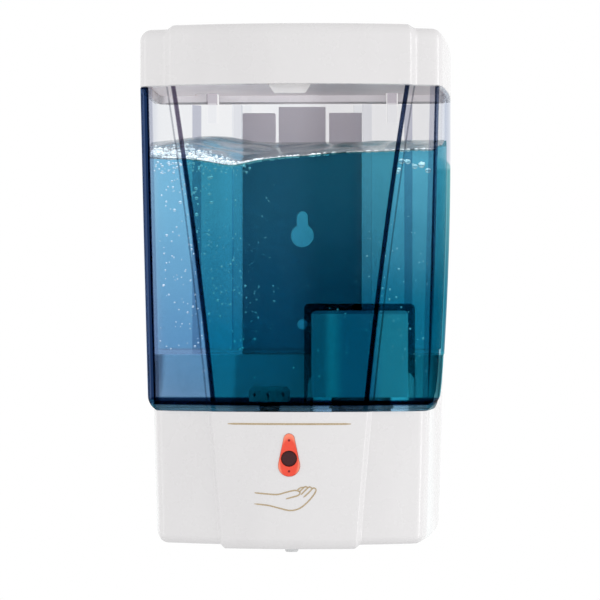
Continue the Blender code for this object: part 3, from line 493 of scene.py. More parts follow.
def lid_loop(inset, share):
    half = lid_half(inset)
    slope = [1.0 - ease(i / SLANT_STEPS) for i in range(SLANT_STEPS + 1)]
    rises = [1.0] * ON_PANEL + slope[1:]
    rises += [0.0] * (len(half) - len(rises) - len(slope)) + list(reversed(slope))
    spots = closed(half)
    rises = rises + list(reversed(rises[1:]))
    return [lid_point(x, y, share, rise) for (x, y), rise in zip(spots, rises)]


def lid_shell():
    """Straight walls, a rounded top edge and a raised middle band that falls off in a soft slope."""
    height = SHOULDER_H - LID_SEAM_H
    loops = [lid_loop(LID_WALL + 1.0, 0.0), lid_loop(0.25, 0.0), lid_loop(0.0, 0.012)]
    loops += [lid_loop(0.0, share) for share in (0.2, 0.4, 0.6)]
    for lean in spaced(0.0, math.pi / 2, 8):
        drop = LID_EDGE * (1 - math.sin(lean)) / height
        loops.append(lid_loop(LID_EDGE * (1 - math.cos(lean)), 1.0 - drop))
    points, faces = loft(loops)
    faces.pop()
    count = len(loops[0])
    half = len(lid_half(0.0))
    start = (len(loops) - 1) * count
    right = list(range(half))
    left = [0] + [count - i for i in range(1, half)]
    band = ON_PANEL
    caps = [right[:band] + [right[-1], left[-1]] + left[band - 1:0:-1]]
    for side in (right, left):
        for i in range(SLANT_STEPS):
            caps.append([side[band - 1 + i], side[band + i], side[half - 2 - i], side[half - 1 - i]])
        caps.append(side[band - 1 + SLANT_STEPS:half - SLANT_STEPS])
    faces += [tuple(start + i for i in cap) for cap in caps]
    return points, faces


def lid_room():
    """Inside of the lid, drawn in a little towards its ceiling."""
    outline = closed(lid_half(LID_WALL))
    inner_top = SHOULDER_H - LID_WALL
    rear_limit = REAR_Y - LID_WALL
    loops = []
    for h, shrink in ((170.0, 0.0), (HINGE_H, 0.0), (inner_top - 1.6, 1.0), (inner_top, 3.2)):
        loops.append([(x * (1 - shrink / 60.0), min(y, rear_limit - shrink), h)
                      for x, y in outline])
    return loft(loops)


def make_lid(mat):
    lid = new_piece("lid_shell", *lid_shell(), mat)
    combine(lid, lid_room(), "DIFFERENCE")
    for side in (-1, 1):
        slot = sorted((side * (EAR_X - 0.5), side * (EAR_X + EAR_T + 0.4)))
        combine(lid, box((slot[0], HINGE_Y + 2.0, 150.0), (slot[1], 5.0, 210.0)), "DIFFERENCE")
        inner = EAR_X + EAR_T + 0.5
        spread = sorted((side * inner, side * (inner + LUG_T)))
        lug = [(HINGE_Y + EAR_R - 0.4, SHOULDER_H - 1.2), (HINGE_Y - EAR_R, SHOULDER_H - 1.2)]
        lug += arc((HINGE_Y, HINGE_H), EAR_R, 180, 360, 16)
        add_hinge_eye(lid, lug, spread)
    finish_mesh(lid)
    return lid


LUG_T = 3.5


# ---- base ----

def base_loop(inset, h, lip=0.0):
    """Base outline at h; the panel's stations hang lower by lip, in a soft step."""
    spots = base_outline(h, inset)
    half = (len(spots) + 1) // 2
    lips = [1.0] * ON_PANEL + [1.0 - ease(i / SLANT_STEPS) for i in range(1, SLANT_STEPS + 1)]
    lips += [0.0] * (half - len(lips))
    lips = lips + list(reversed(lips[1:]))
    return [(x, y, h - lip * share) for (x, y), share in zip(spots, lips)]


def base_body():
    """Base skin: a soft lower edge, whose panel hangs a little lower than the wings."""
    low = WING_BOTTOM_H
    loops = [base_loop(BASE_EDGE, low, PANEL_LIP)]
    for lean in spaced(0.0, math.pi / 2, 7)[1:]:
        inset = BASE_EDGE * (1.0 - math.sin(lean))
        h = low + BASE_EDGE * (1.0 - math.cos(lean))
        loops.append(base_loop(inset, h, PANEL_LIP * (1.0 - 0.8 * (h - low) / BASE_EDGE)))
    loops += [base_loop(0.0, h, lip) for h, lip in ((7.5, 0.2), (10.0, 0.0))]
    loops += [base_loop(0.0, h) for h in spaced(14.0, 90.0, 14)]
    return loft(loops)


BASE_EDGE = 3.2
MOTOR_HOLE = (27.0, -73.0, 13.0)
DROP_LOW_H = 28.0
DROP_TOP_H = 44.6
DROP_BIG_R = 4.2
DROP_SMALL_R = 2.1
POST_R = 3.4
POST_BORE_R = 1.4
POST_LOW_H = 5.0
SCREW_POSTS = [(-43.0, -90.0, 52.0), (43.0, -90.0, 52.0), (-46.0, -38.0, 73.5), (46.0, -38.0, 73.5)]


def drop_outline(grow=0.0, steps=24):
    """Drop in the front view: a big circle below, a small one above, joined by tangents."""
    low = DROP_LOW_H + DROP_BIG_R
    high = DROP_TOP_H - DROP_SMALL_R
    lean = math.degrees(math.asin((DROP_BIG_R - DROP_SMALL_R) / (high - low)))
    outline = arc((0.0, low), DROP_BIG_R + grow, 180 - lean, 360 + lean, steps)
    return outline + arc((0.0, high), DROP_SMALL_R + grow, lean, 180 - lean, steps // 2)


def make_base(mat):
    base = new_piece("base_shell", *base_body(), mat)
    combine(base, seam_block(BELOW, -GAP / 2), "INTERSECT")
    room = new_piece("base_room", *stacked(base_outline, BASE_WALL, spaced(-10.0, 95.0, 7)), None)
    combine(room, seam_block(BELOW, -TANK_WALL - GAP / 2, -TANK_WALL), "INTERSECT")
    combine_piece(base, room, "DIFFERENCE")
    for x, y, top in SCREW_POSTS:
        combine(base, prism(circle(POST_R, 24, (x, y)), POST_LOW_H, top), "UNION")
        combine(base, prism(circle(POST_BORE_R, 16, (x, y)), 0.0, 18.0), "DIFFERENCE")
    x, y, radius = MOTOR_HOLE
    combine(base, prism(circle(radius, 40, (x, y)), 35.0, 90.0), "DIFFERENCE")
    combine(base, prism(circle(4.6, 24, INLET), 45.0, 60.0), "DIFFERENCE")
    combine(base, prism(drop_outline(0.1), FRONT_Y - 5.0, FRONT_Y + 8.0, "y"), "DIFFERENCE")
    finish_mesh(base)
    return base


# ---- liquid ----

WAVES = [(0.052, 0.021, 0.4, 0.7), (-0.083, 0.061, 1.9, 0.7), (0.131, -0.047, 3.3, 0.5),
         (0.21, 0.12, 5.1, 0.4), (-0.29, 0.17, 0.7, 0.3), (0.41, -0.23, 2.6, 0.2)]
LIQUID_LAP = 0.12


def wave_height(x, y):
    """Height of the slopping surface: low along the front, higher at the wall."""
    back = ease(min(max((y + 109.0) / 75.0, 0.0), 1.0))
    front = 151.3 + 1.7 * (1.0 + math.tanh((x - 12.0) / 18.0))
    front -= 2.1 * math.exp(-((x + 22.0) / 8.5) ** 2)
    rear = 162.1 + 2.4 * math.exp(-((x + 37.0) / 14.0) ** 2)
    chop = 0.0
    for kx, ky, phase, size in WAVES:
        chop += size * math.sin(kx * x + ky * y + phase + 0.8 * math.sin(0.05 * y + phase))
    return front + (rear - front) * back + chop * (0.25 + 2.4 * back * (1.0 - back))


def wave_block(low, shift=0.0, thick=None):
    """Block under the wavy surface, or with thick a sheet of that thickness along it."""
    rings = []
    for y in spaced(-116.0, 4.0, 90):
        top = [(x, y, wave_height(x, y) + shift) for x in spaced(-66.0, 66.0, 132)]
        bottom = [(x, y, h - thick if thick else low) for x, _, h in reversed(top)]
        rings.append(top + bottom)
    return loft(rings)


def make_liquid(mat):
    inset = TANK_WALL - LIQUID_LAP
    liquid = new_piece("liquid_soap", *stacked(tank_inner_outline, inset, spaced(38.0, 178.0, 20)), mat)
    combine(liquid, seam_block(ABOVE, inset, inset), "INTERSECT")
    combine(liquid, dome_shape(LIQUID_LAP, DOME_TOP_H - LIQUID_LAP, 30.0), "DIFFERENCE")
    combine(liquid, wave_block(30.0), "INTERSECT")
    finish_mesh(liquid)
    return liquid


def make_surface(mat):
    """Thin film that gives the liquid's top its streaks and its bright rim."""
    block = stacked(tank_inner_outline, TANK_WALL + 0.05, spaced(120.0, 178.0, 12))
    film = new_piece("liquid_surface", *block, mat)
    combine(film, wave_block(30.0, 0.25, 0.5), "INTERSECT")
    finish_mesh(film, 80.0)
    return film


def bubble_shape(centre, radius, squash):
    """One bubble: a ball a little flatter than round."""
    points = []
    faces = []
    rows, sides = 6, 10
    x, y, h = centre
    points.append((x, y, h - radius * squash))
    for row in range(1, rows):
        lean = math.pi * row / rows
        for side in range(sides):
            turn = 2 * math.pi * side / sides
            points.append((x + radius * math.sin(lean) * math.cos(turn),
                           y + radius * math.sin(lean) * math.sin(turn),
                           h - radius * squash * math.cos(lean)))
    points.append((x, y, h + radius * squash))
    for side in range(sides):
        after = (side + 1) % sides
        faces.append((0, 1 + after, 1 + side))
        for row in range(rows - 2):
            a = 1 + row * sides
            faces.append((a + side, a + after, a + sides + after, a + sides + side))
        a = 1 + (rows - 2) * sides
        faces.append((a + side, a + after, len(points) - 1))
    return points, faces


def front_inner_y(x, h):
    """Depth of the tank's inner front face at x and height h."""
    proud = PANEL_PROUD if abs(x) < panel_half(h) - 1.0 else 0.0
    return FRONT_Y + PANEL_PROUD + bow_depth(tank_widths(h)[0], x) - proud + TANK_WALL


def make_bubbles(mat):
    """Air bubbles: where a cluster has no heights, they float on the surface."""
    shapes = []
    for count, xs, hs, sizes, depth in BUBBLE_CLUSTERS:
        for _ in range(count):
            x = random.uniform(*xs)
            h = random.triangular(*(hs or FLOATING_H))
            radius = sizes[0] + (sizes[1] - sizes[0]) * random.random() ** 2.2
            y = front_inner_y(x, h) + radius + random.uniform(0.3, depth)
            if abs(abs(x) - panel_half(h)) < 2.5:
                y += 2.5
            surface = wave_height(x, y)
            stack = FOAM_STACK * min(max((-8.0 - x) / 24.0, 0.0), 1.0)
            h = min(h, surface - radius) if hs else surface + stack * random.random() ** 2
            if h - radius < SEAM_H + TANK_WALL + 1.0 or hits_dome(x, y, h, radius):
                continue
            shapes.append(bubble_shape((x, y, h), radius, random.uniform(0.8, 0.97)))
    return new_piece("liquid_bubbles", *merged(shapes), mat, 80.0)


def hits_dome(x, y, h, radius):
    return (DOME_X[0] - radius < x < DOME_X[1] + radius and DOME_Y[0] - radius < y < DOME_Y[1] + radius
            and h < DOME_TOP_H + radius)


FOAM_STACK = 2.2
FLOATING_H = (150.0, 153.0, 151.0)
# count, x range, (low, high, most likely) height, (least, most) radius, depth behind the front
BUBBLE_CLUSTERS = [
    (300, (-56.0, -32.0), None, (0.3, 0.95), 24.0),
    (260, (-34.0, -11.0), None, (0.25, 0.75), 20.0),
    (130, (-14.0, 56.0), None, (0.3, 0.85), 3.0),
    (130, (-54.0, -14.0), (145.0, 151.0, 150.0), (0.2, 0.6), 5.0),
    (14, (40.0, 55.0), (146.0, 151.5, 149.0), (0.5, 1.3), 3.0),
    (36, (-52.0, -30.0), (126.0, 147.0, 140.0), (0.25, 0.75), 5.0),
    (190, (-52.0, -6.0), (62.0, 146.0, 105.0), (0.2, 0.55), 4.0),
    (110, (-40.0, 45.0), (60.0, 140.0, 95.0), (0.16, 0.42), 6.0),
    (60, (28.0, 54.0), (60.0, 150.0, 80.0), (0.18, 0.5), 4.0),
]


# ---- cup over the motor ----

LINER_GAP = 0.5
LINER_T = 0.8


def make_motor_cup(mat):
    """Thin white cup that stands inside the dome and covers the motor."""
    outer = TANK_WALL + LINER_GAP
    cup = new_piece("motor_cup", *dome_shape(outer, DOME_TOP_H - outer, 58.0, 1.6), mat)
    inner = outer + LINER_T
    combine(cup, dome_shape(inner, DOME_TOP_H - inner, 50.0, 1.2), "DIFFERENCE")
    finish_mesh(cup)
    return cup


# ---- printed marks ----

def panel_y(x):
    """Depth of the base panel's face at x."""
    return FRONT_Y + bow_depth(base_widths(MARK_H)[0], x)


def smooth_line(knots, steps=8):
    """Catmull-Rom line through knots."""
    spots = []
    padded = [knots[0]] + list(knots) + [knots[-1]]
    for a, b, c, d in zip(padded, padded[1:], padded[2:], padded[3:]):
        for i in range(steps):
            t = i / steps
            spot = []
            for p, q, r, s in zip(a, b, c, d):
                spot.append(0.5 * (2 * q + (r - p) * t + (2 * p - 5 * q + 4 * r - s) * t * t
                                   + (3 * q - p - 3 * r + s) * t ** 3))
            spots.append(tuple(spot))
    return spots + [tuple(knots[-1])]


def ink_line(line, width):
    """Flat raised ribbon along an (x, h) line on the base panel."""
    rings = []
    count = len(line)
    for i, (x, h) in enumerate(line):
        before = line[max(i - 1, 0)]
        after = line[min(i + 1, count - 1)]
        dx, dh = after[0] - before[0], after[1] - before[1]
        taper = min(1.0, 0.45 + 0.2 * i, 0.45 + 0.2 * (count - 1 - i))
        half = width / 2 * taper / (math.hypot(dx, dh) or 1.0)
        ring = []
        for side, out in ((half, -INK_PROUD), (half, INK_SUNK), (-half, INK_SUNK), (-half, -INK_PROUD)):
            edge_x = x - dh * side
            ring.append((edge_x, panel_y(edge_x) + out, h + dx * side))
        rings.append(ring)
    return loft(rings)


def merged(shapes):
    points, faces = [], []
    for some_points, some_faces in shapes:
        start = len(points)
        points += some_points
        faces += [tuple(start + i for i in face) for face in some_faces]
    return points, faces


MARK_H = 26.0
HAND_LIFT = 1.3
RULE_WIDTH = 0.7
INK_PROUD = 0.06
INK_SUNK = 0.05
HAND_WIDTH = 0.55
MARK_LINE = (-24.0, 24.0, 48.3)
HAND_LINES = [
    [(-13.5, 20.3), (-9.0, 19.9), (-4.5, 19.7), (-1.0, 20.6), (2.4, 21.3), (4.2, 20.6), (3.6, 19.4),
     (1.0, 18.6), (-1.2, 18.0)],
    [(-13.5, 16.0), (-8.0, 15.4), (-3.5, 14.3), (0.5, 13.5), (4.0, 14.3), (7.0, 16.6), (9.6, 19.6),
     (10.6, 21.6)],
    [(10.6, 21.6), (9.4, 22.2), (7.6, 20.4), (5.6, 18.6)],
    [(9.0, 22.0), (7.8, 22.6), (6.0, 21.0), (4.6, 19.6)],
    [(7.4, 22.4), (6.2, 22.7), (4.8, 21.5), (3.9, 20.6)],
    [(5.8, 22.5), (4.4, 22.3), (3.2, 21.4)],
]


def make_rule(mat):
    low, high, h = MARK_LINE
    return new_piece("gold_rule", *ink_line([(x, h) for x in spaced(low, high, 60)], RULE_WIDTH), mat)


def make_hand(mat):
    lines = [[(x, h + HAND_LIFT) for x, h in knots] for knots in HAND_LINES]
    hand = merged([ink_line(smooth_line(knots), HAND_WIDTH) for knots in lines])
    return new_piece("gold_open_hand", *hand, mat)


# ---- material tools ----

def operator(kind, swapped=False):
    """Method that adds a math node of this kind."""
    def apply(value, other=0.0):
        pair = (other, value) if swapped else (value, other)
        return value.finish.math(kind, *pair)
    return apply


class Value:
    """One node output. Arithmetic with it adds math nodes."""

    def __init__(self, finish, socket):
        self.finish = finish
        self.socket = socket

    __add__ = __radd__ = operator("ADD")
    __sub__ = operator("SUBTRACT")
    __rsub__ = operator("SUBTRACT", True)
    __mul__ = __rmul__ = operator("MULTIPLY")
    __truediv__ = operator("DIVIDE")
    __pow__ = operator("POWER")
    __abs__ = operator("ABSOLUTE")
    larger = operator("MAXIMUM")

    def span(self, low, high, out_low=0.0, out_high=1.0, smooth_ends=True):
        """Maps low..high to out_low..out_high, and holds the ends."""
        node = self.finish.node("ShaderNodeMapRange", Value=self, From_Min=low, From_Max=high,
                                To_Min=out_low, To_Max=out_high)
        if smooth_ends:
            node.interpolation_type = "SMOOTHSTEP"
        return Value(self.finish, node.outputs["Result"])

    def pulse(self, low, high, soft):
        """One between low and high, falling to zero over soft at each end."""
        return self.span(low - soft, low) * self.span(high, high + soft, 1.0, 0.0)

    def blend(self, first, second, mode="MIX"):
        """Mixes two colours by this value."""
        node = self.finish.node("ShaderNodeMix")
        node.data_type = "RGBA"
        node.blend_type = mode
        for socket, source in (("Factor", self), (6, first), (7, second)):
            self.finish.feed(node.inputs[socket], source)
        return Value(self.finish, node.outputs[2])


class Finish:
    """One node material, with short calls for the nodes it needs. Lengths are in millimetres."""

    def __init__(self, name, **fixed):
        self.mat = bpy.data.materials.new(name)
        self.mat.use_nodes = True
        self.tree = self.mat.node_tree
        self.shader = self.tree.nodes["Principled BSDF"]
        self.fill(self.shader, fixed)
        scale = self.node("ShaderNodeVectorMath", "SCALE", Scale=1.0 / MM)
        self.link(self.node("ShaderNodeTexCoord").outputs["Object"], scale.inputs[0])
        self.place = scale.outputs[0]

    def node(self, kind, operation=None, **inputs):
        """New node with these inputs, whose names have an underscore for a space."""
        node = self.tree.nodes.new(kind)
        if operation:
            node.operation = operation
        self.fill(node, inputs)
        return node

    def fill(self, node, inputs):
        for name, source in inputs.items():
            self.feed(node.inputs[name.replace("_", " ")], source)

    def link(self, source, socket):
        self.tree.links.new(source, socket)

    def feed(self, socket, source):
        """Sets a socket from a number, a colour or a value."""
        if isinstance(source, Value):
            self.link(source.socket, socket)
        elif isinstance(source, tuple) and len(source) == 3 and socket.type == "RGBA":
            socket.default_value = (*source, 1.0)
        else:
            socket.default_value = source

    def set(self, socket, source):
        self.feed(self.shader.inputs[socket], source)

    def math(self, operation, *pair):
        node = self.node("ShaderNodeMath", operation)
        for socket, source in zip(node.inputs, pair):
            self.feed(socket, source)
        return Value(self, node.outputs[0])

    def split(self, vector):
        node = self.node("ShaderNodeSeparateXYZ")
        self.link(vector, node.inputs[0])
        return [Value(self, socket) for socket in node.outputs]

    def axes(self):
        """x, y and the height above the base's lower edge."""
        x, y, z = self.split(self.place)
        return x, y, z + ORIGIN_H

    def stretch(self, factors):
        node = self.node("ShaderNodeVectorMath", "MULTIPLY")
        self.link(self.place, node.inputs[0])
        node.inputs[1].default_value = factors
        return Value(self, node.outputs[0])

    def grain(self, size, detail=2.0, roughness=0.5, factors=(1.0, 1.0, 1.0)):
        """Noise whose blotches are about size millimetres wide, or wider along a factor below one."""
        node = self.node("ShaderNodeTexNoise", Vector=self.stretch(factors), Scale=1.0 / size,
                         Detail=detail, Roughness=roughness)
        return Value(self, node.outputs["Fac"])

    def bump(self, height, depth):
        node = self.node("ShaderNodeBump", Distance=depth * MM, Height=height)
        self.link(node.outputs["Normal"], self.shader.inputs["Normal"])

    def absorb(self, colour, density):
        """Plain absorption inside a closed clear piece."""
        node = self.node("ShaderNodeVolumeAbsorption", Color=colour, Density=density)
        self.link(node.outputs["Volume"], self.tree.nodes["Material Output"].inputs["Volume"])


# ---- finishes ----

COAT_ROUGHNESS = 0.08
RUBBED = 1.06


def moulded(name, colour, shade, roughness, texture=0.02, coat=0.0, **fixed):
    """Moulded plastic: faint flow marks, fine grain, dust in the pores and rubbed edges."""
    finish = Finish(name, **fixed)
    finish.set("Coat Weight", coat)
    finish.set("Coat Roughness", COAT_ROUGHNESS)
    speck = finish.grain(0.55, 3.0, 0.6)
    tone = finish.grain(26.0, 3.0, 0.55, (1.0, 1.0, 0.45)).span(0.35, 0.68).blend(colour, shade)
    tone = speck.span(0.66, 0.8, 0.0, 0.35).blend(tone, shade)
    edge = Value(finish, finish.node("ShaderNodeNewGeometry").outputs["Pointiness"])
    rubbed = tuple(min(1.0, c * RUBBED) for c in colour)
    finish.set("Base Color", edge.span(0.53, 0.6, 0.0, 0.5).blend(tone, rubbed))
    smear = finish.grain(9.0, 4.0, 0.6)
    finish.set("Roughness", smear.span(0.3, 0.7, roughness * 0.8, roughness * 1.3))
    finish.bump(finish.grain(1.6) + speck * 0.5, texture)
    return finish


TANK_IOR = 1.001
# Tank tints. The navy, left, dry rib and dome colours and the fainter edge line are painted shade for the
# dark lines that refraction and edge-on plastic give. The ear shade is painted shade from the lid's rear
# wall. The flank colours carry the soap's colour.
NAVY = (0.003, 0.022, 0.085)
TEAL = (0.02, 0.24, 0.36)
FAINT_EDGE_LINE = (0.28, 0.30, 0.44)
LEFT_CORE_TONE = (0.0003, 0.002, 0.015)
LEFT_EDGE_TONE = (0.004, 0.012, 0.05)
DRY_RIB = (0.12, 0.10, 0.16)
AIR_DARKER_RIGHT = (0.84, 0.82, 0.82)
DOME_NAVY = (0.05, 0.18, 0.34)
EAR_CLEAR = (1.0, 1.0, 1.0)
EAR_SHADE = (0.62, 0.58, 0.62)
FLANK_FOOT = (0.015, 0.45, 0.52)
FLANK_LOW = (0.004, 0.24, 0.33)
FLANK_HIGH = (0.16, 0.52, 0.52)
FLANK_INNER = (0.45, 0.78, 0.82)
TANK_TONE = (0.975, 0.98, 0.985)
TANK_TONE_DEEP = (0.955, 0.965, 0.975)
TANK_ABSORB = (0.42, 0.50, 0.66)
TANK_DENSITY = 13.0


def tank_finish():
    """Smoky clear plastic, with painted shade along the panel's steps, the corners, the dome's edge and the
    floor: dark lines that stand in for refraction and for the plastic's own tint seen edge-on.
    """
    finish = Finish("smoky_clear_plastic_fine", Transmission_Weight=1.0, IOR=TANK_IOR)
    x, y, h = finish.axes()
    side = abs(x)
    front_half, rear_half = tank_widths(h)
    past_panel = side - panel_half(h)
    past_corner = side - front_half
    past_flank = x - rear_half
    at_front = y.span(-93.5, -95.0)
    at_rear = y.span(-10.2, -9.2)
    left_front = x.span(-50.0, -52.0) * y.span(-90.0, -94.0)
    in_soap = h.span(153.0, 151.5)
    in_air = h.span(150.0, 158.0)
    in_ear = y.span(-14.0, -13.5) * side.pulse(36.0, 41.0, 0.2)
    rib = (in_air * x.span(1.0, -1.0)).blend(NAVY, DRY_RIB)
    flank = h.span(95.0, 150.0).blend(FLANK_LOW, FLANK_HIGH)
    flank = h.span(STEP_H, STEP_H + 1.5).blend(FLANK_FOOT, flank)
    # Painted shade: the navy lines at the panel's steps, the corners and along the floor, the fainter lines
    # at the corners and rear steps, and the near-black band at the left corner stand in for refraction and
    # edge-on plastic. The flank bands carry the soap's colour where the soap behind is thin.
    marks = [
        (past_corner.pulse(-4.4, -2.8, 0.3) * at_front * 0.5, FAINT_EDGE_LINE),
        (past_corner.pulse(-2.5, -1.1, 0.3) * at_front * 0.97, NAVY),
        (past_flank.pulse(-5.5, -1.9, 0.7) * in_soap * 0.9, FLANK_INNER),
        (past_flank.pulse(-1.7, 1.0, 0.7) * in_soap, flank),
        (past_panel.pulse(2.0, 2.4, 0.25) * at_front * 0.5, NAVY),
        (past_panel.pulse(-1.3, 0.2, 0.25) * at_front * 0.97, rib),
        (side.pulse(43.8, 47.0, 0.3) * at_rear * 0.55, FAINT_EDGE_LINE),
        (side.pulse(26.0, 29.6, 0.3) * at_rear * 0.22, FAINT_EDGE_LINE),
        (past_corner.pulse(-2.9, -1.4, 0.3) * left_front, LEFT_CORE_TONE),
        (past_corner.pulse(-1.1, 1.0, 0.3) * left_front, LEFT_EDGE_TONE),
        (in_ear * h.span(EAR_LOW_H, EAR_LOW_H + 0.3), EAR_CLEAR),
        (in_ear * h.span(180.0, 180.3), EAR_SHADE),
        (dome_edge(x, y, h), DOME_NAVY),
        (h.span(57.4, 56.6, 0.0, 0.7), TEAL),
        (h.pulse(55.3, 56.6, 0.3) * 0.9, NAVY),
    ]
    tone = finish.grain(30.0, 3.0, 0.5).span(0.35, 0.65).blend(TANK_TONE, TANK_TONE_DEEP)
    for share, colour in marks:
        tone = share.blend(tone, colour)
    # Darker over the air above the soap, behind the front and to the right of its middle.
    right_air_darkening = x.span(2.0, 16.0, 0.35, 1.0) * at_front * in_air
    finish.set("Base Color", right_air_darkening.blend(tone, AIR_DARKER_RIGHT, "MULTIPLY"))
    finish.set("Roughness", finish.grain(14.0, 4.0, 0.6).span(0.4, 0.8, 0.0, 0.03))
    finish.bump(finish.grain(11.0, 1.0), 0.012)
    finish.absorb(TANK_ABSORB, TANK_DENSITY)
    return finish


def dome_edge(x, y, h):
    """Painted shade on the dome's outline, standing in for its clear wall seen edge-on: most along its top,
    less along its right wall.
    """
    half = (DOME_X[1] - DOME_X[0]) / 2
    reach = abs(x - sum(DOME_X) / 2)
    walls = reach.pulse(half - 0.6, half + 0.4, 0.3) * x.span(20.0, 30.0, 0.0, 0.3)
    top = h.pulse(DOME_TOP_H - 3.9, DOME_TOP_H + 0.5, 0.4) * x.span(30.0, 34.0, 0.62, 0.4)
    inside = y.pulse(DOME_Y[0] - 0.3, DOME_Y[1] + 0.3, 0.3) * reach.span(half + 0.6, half + 0.4)
    return walls.larger(top) * inside * h.span(DOME_TOP_H + 0.8, DOME_TOP_H + 0.4)


SOAP_CORE_LOW = (0.0008, 0.13, 0.19)
SOAP_CORE_HIGH = (0.05, 0.33, 0.36)
SOAP_CORE_RIGHT = (0.17, 0.39, 0.38)
SOAP_CORE_LEFT = (0.04, 0.27, 0.29)
SOAP_RIGHT_LOW = (0.02, 0.26, 0.33)
SOAP_RIGHT_HIGH = (0.42, 0.70, 0.72)
SOAP_WING_LOW = (0.50, 0.52, 0.70)
SOAP_WING_HIGH = (0.86, 0.88, 0.95)
SOAP_ABSORB = (0.42, 0.78, 0.90)
SOAP_DENSITY = 26.0


def liquid_finish():
    """Blue soap, deeper behind the raised panel and towards the floor."""
    finish = Finish("blue_soap", Transmission_Weight=1.0, IOR=TANK_IOR, Roughness=0.0)
    x, y, h = finish.axes()
    cloud = finish.grain(34.0, 3.0, 0.55, (1.0, 0.4, 1.0))
    level_h = h + cloud.span(0.3, 0.7, -9.0, 9.0, False)
    core_high = x.span(24.0, 30.0).blend(SOAP_CORE_HIGH, SOAP_CORE_RIGHT)
    core_high = x.span(-24.0, -30.0).blend(core_high, SOAP_CORE_LEFT)
    core = level_h.span(75.0, 158.0).blend(SOAP_CORE_LOW, core_high)
    left_wing = level_h.span(55.0, 158.0).blend(SOAP_WING_LOW, SOAP_WING_HIGH)
    right_wing = level_h.span(90.0, 165.0).blend(SOAP_RIGHT_LOW, SOAP_RIGHT_HIGH)
    wing = x.span(-10.0, 10.0).blend(left_wing, right_wing)
    behind = (abs(x) - panel_half(h)).span(1.5, -0.5) * y.span(-96.0, -98.0)
    finish.set("Base Color", behind.blend(wing, core))
    finish.absorb(SOAP_ABSORB, SOAP_DENSITY)
    return finish


def surface_finish():
    """The soap's top: see-through, with grey-green streaks that darken towards the wall."""
    finish = Finish("soap_surface", IOR=1.09, Roughness=0.04)
    _, y, _ = finish.axes()
    streaks = finish.grain(7.0, 4.0, 0.6, (0.3, 1.0, 1.0))
    light = streaks.span(0.4, 0.62).blend((0.72, 0.82, 0.84), (1.0, 1.0, 1.0))
    dark = streaks.span(0.38, 0.6).blend((0.24, 0.34, 0.36), (0.84, 0.88, 0.89))
    finish.set("Base Color", y.span(-75.0, -20.0).blend(light, dark))
    finish.set("Transmission Weight", streaks.span(0.35, 0.65, 0.98, 0.6))
    finish.bump(streaks, 0.5)
    return finish


BUBBLE_CAP_HIGHLIGHT = 0.75


def bubble_finish():
    """Air bubble: clear below, with a painted highlight on its upper cap and a bright rim."""
    finish = Finish("soap_bubble", IOR=1.12, Roughness=0.05, Emission_Color=(0.95, 0.98, 1.0))
    rim = Value(finish, finish.node("ShaderNodeLayerWeight", Blend=0.4).outputs["Facing"])
    _, _, up = finish.split(finish.node("ShaderNodeNewGeometry").outputs["Normal"])
    finish.set("Base Color", finish.grain(0.8).blend((0.95, 0.98, 0.99), (0.70, 0.82, 0.88)))
    finish.set("Transmission Weight", rim.span(0.25, 0.7, 0.9, 0.35))
    # Painted highlight: emission on the faces that point up.
    finish.set("Emission Strength", up.span(-0.1, 0.75) * BUBBLE_CAP_HIGHLIGHT)
    return finish


WINDOW_MIDDLE_H = 34.6
WINDOW_HALF = (4.2, 9.4)
WINDOW_DOTS = (42.0, 30.0)


def window_finish():
    """Orange-red infrared window with a paler rim and two dark dots."""
    finish = Finish("orange_window_fine", IOR=1.3, Roughness=0.16)
    x, _, h = finish.axes()
    rim = abs(x / WINDOW_HALF[0]) ** 2.0 + abs((h - WINDOW_MIDDLE_H) / WINDOW_HALF[1]) ** 2.0
    mottled = finish.grain(1.3, 3.0)
    core = mottled.blend((0.93, 0.10, 0.055), (0.82, 0.07, 0.04))
    tone = rim.span(0.55, 0.95).blend(core, (0.98, 0.27, 0.17))
    for dot_h in WINDOW_DOTS:
        off = abs(h - dot_h) ** 2.0 + abs(x) ** 2.0
        tone = off.span(0.3, 0.12).blend(tone, (0.22, 0.01, 0.01))
    finish.set("Base Color", tone)
    finish.bump(mottled, 0.01)
    return finish


def metal(name, colour, roughness, brushed):
    finish = Finish(name, Metallic=1.0)
    lines = finish.grain(0.5, 3.0, 0.6, (1.0, 1.0, 0.05 if brushed else 1.0))
    dark = tuple(c * 0.78 for c in colour)
    finish.set("Base Color", finish.grain(8.0, 4.0).span(0.35, 0.7).blend(colour, dark))
    finish.set("Roughness", lines.span(0.3, 0.7, roughness * 0.7, roughness * 1.4))
    finish.bump(lines, 0.012)
    return finish


def board_finish():
    """Solder mask with copper tracks under it."""
    finish = Finish("board_green_fine", Roughness=0.4)
    grid = finish.node("ShaderNodeTexBrick", Vector=finish.stretch((1.0, 1.0, 1.0)), Scale=0.35,
                       Mortar_Size=0.03, Color1=(0.02, 0.15, 0.06), Color2=(0.03, 0.19, 0.08),
                       Mortar=(0.10, 0.32, 0.14))
    worn = finish.grain(6.0, 3.0).span(0.4, 0.7, 0.0, 0.4)
    finish.set("Base Color", worn.blend(Value(finish, grid.outputs["Color"]), (0.015, 0.10, 0.05)))
    finish.bump(Value(finish, grid.outputs["Fac"]), 0.03)
    return finish


def wrap_finish():
    """Battery film: dark body, copper shoulder band, fine shrink wrinkles."""
    finish = Finish("battery_wrap_fine", Roughness=0.25)
    _, _, h = finish.axes()
    wrinkle = finish.grain(2.2, 3.0, 0.6, (1.0, 1.0, 0.3))
    body = wrinkle.blend((0.03, 0.035, 0.05), (0.06, 0.07, 0.09))
    finish.set("Base Color", h.span(45.0, 45.6).blend(body, (0.55, 0.26, 0.10)))
    finish.bump(wrinkle, 0.03)
    return finish


